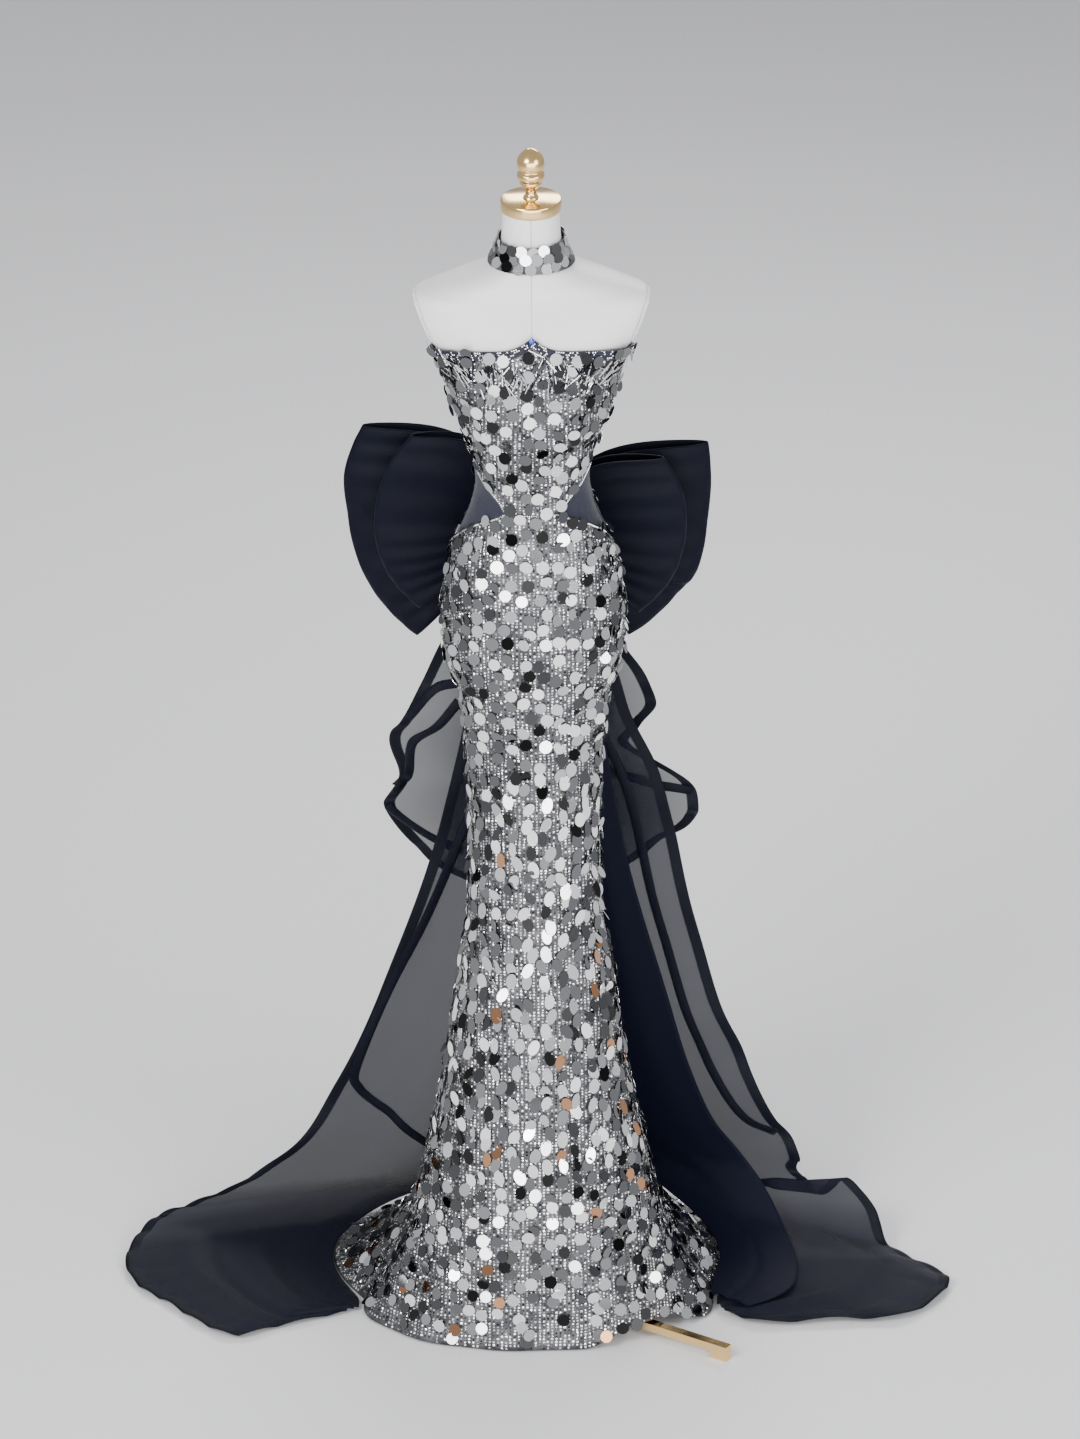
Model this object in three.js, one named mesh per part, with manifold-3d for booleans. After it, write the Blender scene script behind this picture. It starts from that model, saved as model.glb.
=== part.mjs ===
// A strapless trumpet evening gown of sequinned cloth, with sheer waist insets, a large bow
// and organza tails at the back, on a limbless dress form with a gilt stand.
// Millimetres, +Z up. The front of the gown faces -Y.

import * as THREE from 'three';
import { mergeVertices } from 'three/addons/utils/BufferGeometryUtils.js';
import Module from 'manifold-3d';

const manifoldLibrary = await Module();
manifoldLibrary.setup();

// Cloth and gaps
const SEAM_GAP = 0.3;
const SEQUIN_CLOTH = 2.0;
const NET_CLOTH = 1.4;
const ORGANZA = 1.3;
const TRIM_THICKNESS = 1.6;
const FLOOR_CLEARANCE = 0.9;

// The gown's outer surface, level by level.
// Columns: height, half width, depth in front of the pole, depth behind it, spread of the train.
const FIGURE = [
  [3, 276, 166, 385, 74],
  [25, 259, 162, 350, 50],
  [58, 240, 158, 314, 26],
  [109, 215, 153, 270, 8],
  [182, 187, 146, 232, 0],
  [243, 175, 140, 210, 0],
  [317, 161, 134, 187, 0],
  [390, 147, 127, 168, 0],
  [463, 136, 120, 152, 0],
  [536, 126, 112, 138, 0],
  [609, 116, 104, 124, 0],
  [716, 101, 95, 106, 0],
  [856, 99, 90, 96, 0],
  [939, 101, 90, 94, 0],
  [1005, 105, 92, 95, 0],
  [1064, 111, 96, 100, 0],
  [1098, 117, 99, 107, 0],
  [1132, 130, 101, 115, 0],
  [1184, 139, 103, 124, 0],
  [1235, 138, 102, 120, 0],
  [1303, 130, 95, 103, 0],
  [1337, 121, 90, 93, 0],
  [1371, 105, 84, 84, 0],
  [1405, 93, 79, 77, 0],
  [1438, 87, 78, 74, 0],
  [1506, 95, 90, 83, 0],
  [1573, 121, 104, 96, 0],
  [1640, 139, 106, 100, 0],
  [1672, 153, 103, 100, 0],
  [1700, 176, 96, 98, 0],
  [1725, 190, 88, 95, 0],
  [1745, 192, 79, 91, 0],
  [1756, 184, 74, 88, 0],
  [1767, 160, 70, 84, 0],
  [1780, 126, 67, 80, 0],
  [1792, 92, 63, 74, 0],
  [1803, 69, 59, 66, 0],
  [1812, 60, 55, 60, 0],
  [1822, 54, 53, 57, 0],
  [1850, 49, 48, 50, 0],
  [1889, 47, 47, 47, 0],
];
const SECTION_ROUNDNESS = 2.15;
const BUST = { across: 66, height: 1596, fullness: 13, reachAcross: 44, reachUp: 50 };

// Low flutes that run out to the hem. Columns: angle from the front, width, depth.
const FLUTES = [
  [-148, 16, 10],
  [-112, 14, 9],
  [-72, 11, 7],
  [-38, 12, 6],
  [-10, 10, 5],
  [21, 12, 6],
  [74, 10, 7],
  [108, 14, 9],
  [143, 16, 10],
];
const FLUTE_TOP = 420;

// Top edge of the bodice. Columns: angle from the front, height.
const NECKLINE = [
  [0, 1716],
  [5, 1704],
  [12, 1697],
  [25, 1694],
  [45, 1689],
  [65, 1680],
  [80, 1674],
  [92, 1669],
  [120, 1655],
  [150, 1645],
  [180, 1640],
];

// Side cut-out at the waist. Columns: angle from the front, upper edge, lower edge.
const CUTOUT = [
  [27, 1415, 1415],
  [33, 1427, 1408],
  [40, 1436, 1402],
  [48, 1445, 1396],
  [57, 1454, 1388],
  [66, 1466, 1378],
  [75, 1477, 1368],
  [84, 1489, 1355],
  [91.9, 1497, 1343],
  [99.6, 1481, 1359],
];
const INSET_TIP_ANGLE = 28.6;
const INSET_EDGE_GAP = 0.6;
const SIDE_SEAM_FRONT = 91.9;
const SIDE_SEAM_BACK = 92.25;
const BACK_PANEL_ANGLE = 100;
const WAIST_SEAM_BACK = 1400;
const WAIST_SEAM_FRONT = CUTOUT[0][1];
const BODICE_CELLS = 20;

// Levels of the skirt below its top edge, down to the hem
const SKIRT_LEVELS = [
  1303, 1268, 1235, 1208, 1184, 1158, 1132, 1098, 1055, 1000, 900, 790, 680, 580, 480, 390, 300, 215,
  145, 85, 45, 20,
];
const HEM_HEIGHT = 3;
const HEM_FOLLOWING = 0.4;

// Zip and neckline trim
const ZIP_HALF_WIDTH = 4;
const ZIP_FOOT = 1234;
const ZIP_SLIDER = { width: 5, depth: 2.4, height: 9, drop: 8 };
const TRIM_DEPTH = 13;

// Stand
const POLE_RADIUS = 12.5;
const TORSO_BOTTOM = 1100;
const FORM_CLEARANCE = 4;
const FORM_STEP = 30;
const LEG_WIDTH = 16;
const LEG_HEIGHT = 13;
const FOOT_HEIGHT = 12;
const FOOT_LENGTH = 29;
const LEG_ROOT = 10;
const HUB = { radius: 34, height: 20, neck: 20, rim: 8 };
// Columns: name, direction from +X, length
const LEGS = [
  ['leg_front_right', -33.5, 360],
  ['leg_left', 190, 225],
  ['leg_back', 100, 320],
];
const LEG_LIFT = { angle: 42, flat: 8, width: 22, height: 26.5 };

// Arm plates: the plane of the armhole runs through a low point and a high point
const ARM_PLANE = { lowX: 152, lowZ: 1677, highX: 182, highZ: 1757 };
const ARM_PLATE = 5;

const NECK_TOP = FIGURE[FIGURE.length - 1][0];
const CAP = { radius: 46.5, height: 19, edge: 2 };

// Columns: radius, height above the cap
const FINIAL = [
  [0, 0],
  [12, 0],
  [11, 3],
  [8.5, 6],
  [8.5, 15],
  [12, 19],
  [17, 24],
  [17, 28],
  [20.5, 33],
  [20.5, 40],
  [17, 45],
  [20, 49],
  [21, 57],
  [19, 66],
  [13, 74],
  [6, 79],
  [0, 80.5],
];

const NECK_BAND = { levels: [1806, 1812, 1822, 1834, 1846], lift: 0.25 };

// Bow
const KNOT = { height: 1310, halfHeight: 45, halfWidth: 28, halfDepth: 32, boxiness: 4 };
const LOOP_ROOT = { x: 29.2, halfHeight: 36, halfGap: 5, startAngle: 10 };
// Outlines of the loops as seen from the front. Columns: angle above level, reach from the knot.
const BOW_LOOPS = {
  bow_left_back: {
    side: -1, offset: 15, lean: 16, bulge: 17, pleats: 2.6, phase: 0.4,
    outline: [[29.5, 302], [14.8, 301], [-1.4, 288], [-18.8, 285], [-34.4, 283], [-49.2, 280]],
  },
  bow_left_front: {
    side: -1, offset: -11, lean: -14, bulge: 14, pleats: 2.2, phase: 1.9,
    outline: [[40, 243], [22, 247], [0, 246], [-18, 240], [-38, 225]],
  },
  bow_right_back: {
    side: 1, offset: 15, lean: 16, bulge: 17, pleats: 2.4, phase: 2.5,
    outline: [[23.2, 295], [12, 282], [-5, 271], [-22.3, 274], [-32.7, 265], [-54.9, 259]],
  },
  bow_right_front: {
    side: 1, offset: -11, lean: -14, bulge: 14, pleats: 2.3, phase: 0.9,
    outline: [[30, 232], [12, 238], [-5, 236], [-22, 232], [-42, 220]],
  },
};
const PLEAT_DEPTH = 5;
// How much the top edges of the loops puff up beside the knot
const LOOP_PUFF = 3.4;

// Hanging organza. Each row is one line across the cloth, from its inner edge, which follows the
// skirt, to its outer edge. Columns: inner angle from the front, inner height, inner distance
// from the skirt, outer distance to the side, outer depth behind the pole, outer height.
const TAIL_LEFT = [
  [179.4, 1264.3, 28, 18, 141, 1264.3],
  [179.4, 1180, 26, 70, 150, 1180],
  [179, 1060, 50, 100, 158, 1060],
  [179, 934, 62, 112, 170, 934],
  [178, 804, 68, 140, 180, 804],
  [177, 693, 70, 166, 190, 693],
  [176, 538, 55, 217, 205, 538],
  [175, 422, 45, 257, 215, 422],
  [173, 282, 35, 318, 225, 282],
  [171, 193, 28, 364, 230, 193],
  [168, 110, 24, 425, 235, 125],
  [164, 60, 22, 490, 240, 78],
  [156, 32, 22, 560, 238, 45],
  [146, 22, 20, 615, 225, 30],
  [134, 18, 18, 648, 180, 16],
  [122, 15, 16, 662, 110, 8],
  [112, 12, 14, 636, 36, 6],
  [104, 10, 12, 590, -15, 6],
  [98, 9, 12, 535, -85, 8],
  [93, 8, 12, 480, -125, 8],
  [88, 8, 12, 410, -92, 6],
  [80, 8, 12, 318, -52, 6],
];
const TAIL_RIGHT = [
  [179.4, 1264.3, 28, 18, 141, 1264.3],
  [179.4, 1180, 26, 70, 148, 1180],
  [179, 1037, 52, 129, 165, 1037],
  [179, 955, 62, 153, 172, 952],
  [178, 849, 66, 197, 178, 848],
  [177, 765, 68, 217, 183, 764],
  [176, 658, 66, 237, 192, 657],
  [176, 554, 58, 260, 202, 553],
  [175, 426, 48, 293, 212, 425],
  [174, 340, 42, 325, 218, 348],
  [173, 270, 40, 345, 222, 290],
  [171, 200, 38, 386, 225, 200],
  [168, 168, 38, 414, 236, 157],
  [162, 140, 38, 424, 232, 122],
  [154, 118, 36, 418, 226, 114],
  [146, 102, 34, 432, 214, 100],
  [139, 90, 32, 458, 206, 72],
  [133, 78, 30, 500, 197, 106],
  [128, 66, 28, 545, 178, 60],
  [123, 56, 26, 562, 146, 16],
  [118, 50, 24, 606, 100, 10],
  [112, 38, 22, 657, 46, 8],
  [104, 28, 20, 648, 0, 8],
  [98, 20, 18, 581, -77, 9],
  [92, 15, 16, 470, -88, 9],
  [86, 10, 14, 353, -95, 9],
  [80, 10, 14, 300, -66, 9],
];

// The dark panel hangs in front of the right tail and lies on top of it
const PANEL_RIGHT = [
  [179.4, 1264.3, 14, 12, 128, 1264.3],
  [179.2, 1180, 12, 58, 131, 1180],
  [179, 1000, 34, 98, 138, 1000],
  [178.5, 800, 46, 130, 146, 800],
  [178, 678, 46, 153, 154, 678],
  [177, 475, 34, 205, 170, 475],
  [175, 323, 26, 245, 182, 323],
  [172, 230, 22, 285, 190, 220],
  [166, 180, 22, 322, 192, 168],
  [156, 150, 24, 345, 188, 136],
  [146, 125, 24, 362, 176, 114],
  [136, 105, 22, 380, 156, 86],
  [126, 86, 20, 398, 126, 56],
  [116, 66, 18, 412, 84, 38],
  [107, 48, 16, 416, 40, 28],
  [99, 34, 14, 408, 0, 24],
  [92, 26, 12, 380, -36, 22],
  [86, 20, 10, 335, -62, 20],
];

const CASCADE_LEFT = [
  [179.4, 1264.3, 43, 14, 156, 1264.3],
  [179.2, 1180, 44, 80, 172, 1180],
  [179, 1094, 70, 138, 192, 1088],
  [179, 1008, 92, 177, 215, 990],
  [179, 941, 100, 211, 190, 935],
  [179, 890, 104, 229, 215, 895],
  [179, 835, 104, 215, 245, 810],
  [179, 796, 106, 239, 205, 785],
  [178, 732, 108, 202, 235, 708],
  [178, 696, 108, 169, 215, 680],
  [177, 640, 106, 110, 215, 640],
];

const CASCADE_RIGHT = [
  [179.4, 1264.3, 43, 14, 156, 1264.3],
  [179.2, 1180, 44, 78, 172, 1180],
  [179, 1073, 70, 141, 192, 1067],
  [179, 1000, 92, 180, 205, 996],
  [179, 960, 98, 192, 190, 963],
  [179, 925, 100, 166, 205, 919],
  [179, 880, 104, 150, 235, 872],
  [179, 835, 104, 248, 210, 815],
  [179, 789, 106, 259, 205, 779],
  [178, 765, 108, 252, 220, 745],
  [178, 734, 108, 210, 240, 705],
  [178, 700, 108, 166, 215, 683],
  [177, 650, 106, 115, 215, 645],
];

// The soft folds across each sheet, the cells it is made of and its finish
const SHEET_FOLDS = {
  tail_left: { folds: 1.5, depth: 7, phase: 0.5, rows: 23, columns: 6 },
  tail_right: { folds: 1.5, depth: 6, phase: 2.2, rows: 29, columns: 6 },
  panel_right: { folds: 1, depth: 3, phase: 0, rows: 22, columns: 4, finish: 'navy_panel' },
  cascade_left: { folds: 1, depth: 8, phase: 1, rows: 16, columns: 6 },
  cascade_right: { folds: 1, depth: 8, phase: 2, rows: 18, columns: 6 },
};

const deg = THREE.MathUtils.degToRad;
const lerp = THREE.MathUtils.lerp;

const finishes = {
  sequins: { color: 0xc4c8cf, roughness: 0.28, metalness: 0.85 },
  beads: { color: 0x5b6272, roughness: 0.35, metalness: 0.5 },
  net: { color: 0x464856, roughness: 0.8, metalness: 0 },
  organza: { color: 0x141824, roughness: 0.6, metalness: 0 },
  navy_panel: { color: 0x11141f, roughness: 0.7, metalness: 0 },
  crystal: { color: 0x1f3fae, roughness: 0.08, metalness: 0 },
  form: { color: 0xebe6e9, roughness: 0.45, metalness: 0 },
  gilt: { color: 0xc8963c, roughness: 0.15, metalness: 1 },
};

const gown = new THREE.Group();

function addPiece(name, geometry, finish) {
  const mesh = new THREE.Mesh(geometry, new THREE.MeshStandardMaterial(finishes[finish]));
  mesh.name = name;
  gown.add(mesh);
  return mesh;
}

// The row of a table at a place between its rows, on smooth curves that do not overshoot
function smoothRow(table, place) {
  const last = table.length - 1;
  const at = THREE.MathUtils.clamp(place, Math.min(table[0][0], table[last][0]),
    Math.max(table[0][0], table[last][0]));
  const rising = table[last][0] > table[0][0];
  let k = 0;
  while (k < last - 1 && (rising ? table[k + 1][0] < at : table[k + 1][0] > at)) {
    k += 1;
  }
  const slope = (i, c) => (table[i + 1][c] - table[i][c]) / (table[i + 1][0] - table[i][0]);
  const tangent = (i, c) => {
    if (i === 0 || i === last) {
      return slope(i === 0 ? 0 : last - 1, c);
    }
    const before = slope(i - 1, c);
    const after = slope(i, c);
    return before * after <= 0 ? 0 : (2 * before * after) / (before + after);
  };
  const step = table[k + 1][0] - table[k][0];
  const t = (at - table[k][0]) / step;
  return table[k].map((value, c) => {
    if (c === 0) {
      return at;
    }
    const t2 = t * t;
    const t3 = t2 * t;
    return (2 * t3 - 3 * t2 + 1) * value + (t3 - 2 * t2 + t) * step * tangent(k, c)
      + (3 * t2 - 2 * t3) * table[k + 1][c] + (t3 - t2) * step * tangent(k + 1, c);
  });
}

// The row of a table at a place between its rows, on straight lines
function straightRow(table, place) {
  let k = 0;
  while (k < table.length - 2 && table[k + 1][0] < place) {
    k += 1;
  }
  const t = THREE.MathUtils.clamp((place - table[k][0]) / (table[k + 1][0] - table[k][0]), 0, 1);
  return table[k].map((value, c) => lerp(value, table[k + 1][c], t));
}

// How far the flutes push the skirt out at an angle and height
function fluteDepth(degrees, z) {
  const fade = THREE.MathUtils.smoothstep(FLUTE_TOP - z, 0, FLUTE_TOP);
  let depth = 0;
  for (const [angle, width, height] of FLUTES) {
    depth += height * Math.exp(-(((degrees - angle) / width) ** 2));
  }
  return depth * fade;
}

// A point of the gown's outer surface. The angle runs from the front (0) by the right (+90).
// The section is a full oval, with bust fullness in front and a spreading train behind.
function figurePoint(degrees, z, inset = 0) {
  const [, halfWidth, front, back, spread] = smoothRow(FIGURE, z);
  const sine = Math.sin(deg(degrees));
  const cosine = Math.cos(deg(degrees));
  const power = 2 / SECTION_ROUNDNESS;
  const depth = (cosine > 0 ? front : back) - inset;
  let x = Math.sign(sine) * (halfWidth - inset) * Math.abs(sine) ** power;
  let y = -Math.sign(cosine) * depth * Math.abs(cosine) ** power;
  const bustX = (Math.abs(x) - BUST.across) / BUST.reachAcross;
  const bustZ = (z - BUST.height) / BUST.reachUp;
  y -= cosine > 0 ? BUST.fullness * cosine * Math.exp(-(bustX ** 2) - bustZ ** 2) : 0;
  const behind = Math.max(0, -cosine);
  const push = spread * 4 * behind * (1 - behind) * Math.abs(sine) + fluteDepth(degrees, z);
  x += sine * push;
  y -= cosine * push;
  return new THREE.Vector3(x, y, z);
}

// The outward direction of the gown's surface
function figureNormal(degrees, z) {
  const turn = 0.5;
  const rise = 1.0;
  const across = figurePoint(degrees + turn, z).sub(figurePoint(degrees - turn, z));
  const up = figurePoint(degrees, z + rise).sub(figurePoint(degrees, z - rise));
  return across.cross(up).normalize();
}

// A closed mesh from points and triangles, turned so that its faces point out
function closedGeometry(points, faces) {
  let volume = 0;
  for (const [a, b, c] of faces) {
    volume += points[a].dot(new THREE.Vector3().crossVectors(points[b], points[c]));
  }
  const outward = volume > 0 ? faces : faces.map(([a, b, c]) => [a, c, b]);
  const geometry = new THREE.BufferGeometry();
  geometry.setAttribute('position', new THREE.Float32BufferAttribute(
    points.flatMap((p) => [p.x, p.y, p.z]), 3));
  geometry.setIndex(outward.flat());
  geometry.computeVertexNormals();
  return geometry;
}

// A wall between two grids of points that face each other. Grids are lists of rows.
// With closedRows each row runs round and joins its own start.
function wallGeometry(outer, inner, closedRows = false) {
  const rows = outer.length;
  const columns = outer[0].length;
  const points = [...outer.flat(), ...inner.flat()];
  const far = rows * columns;
  const at = (r, c) => r * columns + (c % columns);
  const faces = [];
  const quad = (a, b, c, d) => faces.push([a, b, c], [a, c, d]);
  const cells = closedRows ? columns : columns - 1;
  for (let r = 0; r < rows - 1; r += 1) {
    for (let c = 0; c < cells; c += 1) {
      quad(at(r, c), at(r, c + 1), at(r + 1, c + 1), at(r + 1, c));
      quad(far + at(r, c), far + at(r + 1, c), far + at(r + 1, c + 1), far + at(r, c + 1));
    }
  }
  for (let c = 0; c < cells; c += 1) {
    quad(at(0, c + 1), at(0, c), far + at(0, c), far + at(0, c + 1));
    quad(at(rows - 1, c), at(rows - 1, c + 1), far + at(rows - 1, c + 1), far + at(rows - 1, c));
  }
  for (let r = 0; r < rows - 1 && !closedRows; r += 1) {
    quad(at(r, 0), at(r + 1, 0), far + at(r + 1, 0), far + at(r, 0));
    quad(at(r + 1, columns - 1), at(r, columns - 1), far + at(r, columns - 1),
      far + at(r + 1, columns - 1));
  }
  return closedGeometry(points, faces);
}

// A cloth wall on the gown's surface. Places are rows of [angle, height];
// lift moves the whole wall outwards.
function surfaceWall(places, thickness, lift = 0, closedRows = false) {
  const at = (out) => places.map((row) => row.map(([degrees, z]) => (
    figurePoint(degrees, z).addScaledVector(figureNormal(degrees, z), out))));
  return wallGeometry(at(lift), at(lift - thickness), closedRows);
}

function evenSteps(from, to, count) {
  return Array.from({ length: count + 1 }, (_, k) => lerp(from, to, k / count));
}

function necklineHeight(degrees) {
  return smoothRow(NECKLINE, Math.abs(degrees))[1];
}

function skirtTop(degrees) {
  const angle = Math.abs(degrees);
  const edge = angle < CUTOUT[0][0] ? WAIST_SEAM_FRONT : straightRow(CUTOUT, angle)[2];
  return edge - SEAM_GAP / 2;
}

// The hem hangs just off the floor and passes over the foot that stands out in front
function hemHeight(degrees) {
  const away = Math.abs(degrees - LEG_LIFT.angle);
  const lift = 1 - THREE.MathUtils.smoothstep(away, LEG_LIFT.flat, LEG_LIFT.width);
  return HEM_HEIGHT + LEG_LIFT.height * lift;
}

// The angle at which the surface is a given distance from the centre back
function backEdgeAngle(z, distance) {
  const halfWidth = smoothRow(FIGURE, z)[1];
  return 180 - THREE.MathUtils.radToDeg(Math.asin((distance / halfWidth) ** (SECTION_ROUNDNESS / 2)));
}

function backSeamAngle(z) {
  return backEdgeAngle(z, z > ZIP_FOOT ? ZIP_HALF_WIDTH + SEAM_GAP : SEAM_GAP / 2);
}

function bodiceFront() {
  const upperRows = 6;
  const cells = BODICE_CELLS;
  const edges = CUTOUT.slice(0, -1);
  const lowerRows = edges.map(([angle, upper], k) => (
    evenSteps(-angle, angle, cells).map((a) => [a, k === 0 ? upper + SEAM_GAP / 2 : upper])));
  const shoulder = edges[edges.length - 1][1];
  for (let r = 1; r <= upperRows; r += 1) {
    lowerRows.push(evenSteps(-SIDE_SEAM_FRONT, SIDE_SEAM_FRONT, cells)
      .map((a) => [a, lerp(shoulder, necklineHeight(a), r / upperRows)]));
  }
  addPiece('bodice_front', surfaceWall(lowerRows, SEQUIN_CLOTH), 'sequins');
}

function bodiceBack(name, side) {
  const cells = 8;
  // Columns: height, angle of the side edge
  const edges = [
    [WAIST_SEAM_BACK + SEAM_GAP / 2, BACK_PANEL_ANGLE],
    [1440, BACK_PANEL_ANGLE],
    [CUTOUT[9][1] + 1, BACK_PANEL_ANGLE],
    [CUTOUT[8][1] + 1, SIDE_SEAM_BACK],
  ];
  const rows = edges.map(([z, start]) => (
    evenSteps(start, backSeamAngle(z), cells).map((a) => [side * a, z])));
  const upperRows = 5;
  for (let r = 1; r <= upperRows; r += 1) {
    const level = lerp(edges[3][0], NECKLINE[10][1], r / upperRows);
    rows.push(evenSteps(SIDE_SEAM_BACK, backSeamAngle(level), cells)
      .map((a) => [side * a, lerp(edges[3][0], necklineHeight(a), r / upperRows)]));
  }
  addPiece(name, surfaceWall(rows, SEQUIN_CLOTH), 'sequins');
}

function waistInset(name, side) {
  const angles = [INSET_TIP_ANGLE, ...CUTOUT.slice(1).map(([angle]) => angle)];
  const rows = [0, 1 / 3, 2 / 3, 1].map((t) => angles.map((angle) => {
    const [, upper, lower] = straightRow(CUTOUT, angle);
    return [side * angle, lerp(lower + INSET_EDGE_GAP, upper - INSET_EDGE_GAP, t)];
  }));
  addPiece(name, surfaceWall(rows, NET_CLOTH, -0.3), 'net');
}

// Near the hem the rows of the skirt rise with the hem, so that they stay apart.
// anglesAt gives the angles of a row from its height at the middle of the front.
function skirtRows(anglesAt) {
  const rows = [0, 0.5].map((t) => {
    const middle = lerp(WAIST_SEAM_FRONT, SKIRT_LEVELS[0], t);
    return anglesAt(middle).map((a) => [a, lerp(skirtTop(a), SKIRT_LEVELS[0], t)]);
  });
  for (const level of SKIRT_LEVELS) {
    const share = (level - HEM_HEIGHT) * HEM_FOLLOWING;
    rows.push(anglesAt(level).map((a) => [a, Math.max(level, hemHeight(a) + share)]));
  }
  rows.push(anglesAt(HEM_HEIGHT).map((a) => [a, hemHeight(a)]));
  return rows;
}

// Each half of the skirt's front runs from the seam at the centre front to the side seam
function skirtFront(name, side) {
  const anglesAt = (z) => {
    const seam = 180 - backEdgeAngle(z, SEAM_GAP / 2);
    return [seam, 9, 18, ...CUTOUT.slice(0, -1).map(([angle]) => angle)].map((a) => side * a);
  };
  addPiece(name, surfaceWall(skirtRows(anglesAt), SEQUIN_CLOTH), 'sequins');
}

function skirtBack(name, side) {
  const cells = 9;
  // Columns: height, angle of the side edge
  const edges = [
    [WAIST_SEAM_BACK - SEAM_GAP / 2, BACK_PANEL_ANGLE],
    [CUTOUT[9][2] - 1, BACK_PANEL_ANGLE],
    [CUTOUT[8][2] - 1, SIDE_SEAM_BACK],
    ...SKIRT_LEVELS.map((level) => [level, SIDE_SEAM_BACK]),
    [HEM_HEIGHT, SIDE_SEAM_BACK],
  ];
  const rows = edges.map(([z, start]) => (
    evenSteps(start, backSeamAngle(z), cells).map((a) => [side * a, z])));
  addPiece(name, surfaceWall(rows, SEQUIN_CLOTH), 'sequins');
}

function backZip() {
  const zipTop = NECKLINE[10][1] - 1;
  const levels = evenSteps(ZIP_FOOT + 2, zipTop, 14);
  const rows = levels.map((z) => {
    const edge = 180 - backEdgeAngle(z, ZIP_HALF_WIDTH);
    return [180 - edge, 180, 180 + edge].map((a) => [a, z]);
  });
  addPiece('back_zip', surfaceWall(rows, SEQUIN_CLOTH), 'net');
  const slider = new THREE.BoxGeometry(ZIP_SLIDER.width, ZIP_SLIDER.depth, ZIP_SLIDER.height);
  const seat = figurePoint(180, zipTop - ZIP_SLIDER.drop);
  slider.translate(seat.x, seat.y + ZIP_SLIDER.depth / 2 + 2 * SEAM_GAP, seat.z);
  addPiece('zip_slider', slider, 'gilt');
}

// The beaded edge lies on the top of the front bodice
function necklineTrim() {
  const lift = TRIM_THICKNESS + 5 * SEAM_GAP;
  const angles = evenSteps(-SIDE_SEAM_FRONT, SIDE_SEAM_FRONT, BODICE_CELLS);
  const rows = [TRIM_DEPTH, TRIM_DEPTH / 2, 1].map((down) => (
    angles.map((a) => [a, necklineHeight(a) - down])));
  addPiece('neckline_trim', surfaceWall(rows, TRIM_THICKNESS, lift), 'beads');
}

function centreCrystal() {
  const halfHeight = 7;
  const radius = 4.6;
  const profile = [[0, -halfHeight], [radius, -1.5], [radius * 0.7, 2.5], [0, halfHeight]];
  const drop = new THREE.LatheGeometry(profile.map(([r, z]) => new THREE.Vector2(r, z)), 8);
  drop.rotateX(Math.PI / 2);
  const seat = figurePoint(0, NECKLINE[0][1] - 3);
  drop.translate(0, seat.y - TRIM_THICKNESS - radius - 6 * SEAM_GAP, seat.z + 2);
  addPiece('centre_crystal', drop, 'crystal');
}

function neckBand() {
  const angles = evenSteps(0, 360, 28).slice(0, -1);
  const rows = NECK_BAND.levels.map((z) => angles.map((a) => [a, z]));
  addPiece('neck_band', surfaceWall(rows, SEQUIN_CLOTH, NECK_BAND.lift, true), 'sequins');
}

function knotCentreY(z) {
  return figurePoint(180, z).y + 0.5 + KNOT.halfDepth;
}

// The knot is a boxy band that leans with the back of the gown
function bowKnot() {
  const { height, halfHeight, halfWidth, halfDepth, boxiness } = KNOT;
  // Columns: place along the height, share of the full section
  const profile = [
    [-1, 0.72],
    [-0.9, 0.92],
    [-0.75, 1],
    [0, 0.98],
    [0.75, 1],
    [0.9, 0.92],
    [1, 0.72],
  ];
  const points = [];
  const faces = [];
  const sides = 16;
  for (const [place, share] of profile) {
    const z = height + halfHeight * place;
    for (let k = 0; k < sides; k += 1) {
      const turn = (2 * Math.PI * k) / sides;
      const across = Math.abs(Math.cos(turn)) ** (2 / boxiness);
      const x = halfWidth * share * Math.sign(Math.cos(turn)) * across;
      const y = halfDepth * share * Math.sign(Math.sin(turn)) * Math.abs(Math.sin(turn)) ** (2 / boxiness);
      points.push(new THREE.Vector3(x, knotCentreY(z) + y, z));
    }
  }
  for (let r = 0; r < profile.length - 1; r += 1) {
    for (let k = 0; k < sides; k += 1) {
      const a = r * sides + k;
      const b = r * sides + ((k + 1) % sides);
      faces.push([a, b, b + sides], [a, b + sides, a + sides]);
    }
  }
  const top = (profile.length - 1) * sides;
  for (let k = 1; k < sides - 1; k += 1) {
    faces.push([0, k + 1, k], [top, top + k, top + k + 1]);
  }
  addPiece('bow_knot', closedGeometry(points, faces), 'organza');
}

// A wall of even thickness on a surface given as a function of two parameters from 0 to 1
function parametricWall(pointAt, rows, columns, thickness, floor = 0) {
  const small = 0.004;
  const outer = [];
  const inner = [];
  for (let r = 0; r <= rows; r += 1) {
    const outerRow = [];
    const innerRow = [];
    for (let c = 0; c <= columns; c += 1) {
      const u = c / columns;
      const v = r / rows;
      const point = pointAt(u, v);
      const across = pointAt(Math.min(1, u + small), v).sub(pointAt(Math.max(0, u - small), v));
      const along = pointAt(u, Math.min(1, v + small)).sub(pointAt(u, Math.max(0, v - small)));
      const normal = across.cross(along).normalize();
      const behind = point.clone().addScaledVector(normal, -thickness);
      const sunk = Math.max(0, floor - Math.min(point.z, behind.z));
      point.z += sunk;
      behind.z += sunk;
      outerRow.push(point);
      innerRow.push(behind);
    }
    outer.push(outerRow);
    inner.push(innerRow);
  }
  return wallGeometry(outer, inner);
}

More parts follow.
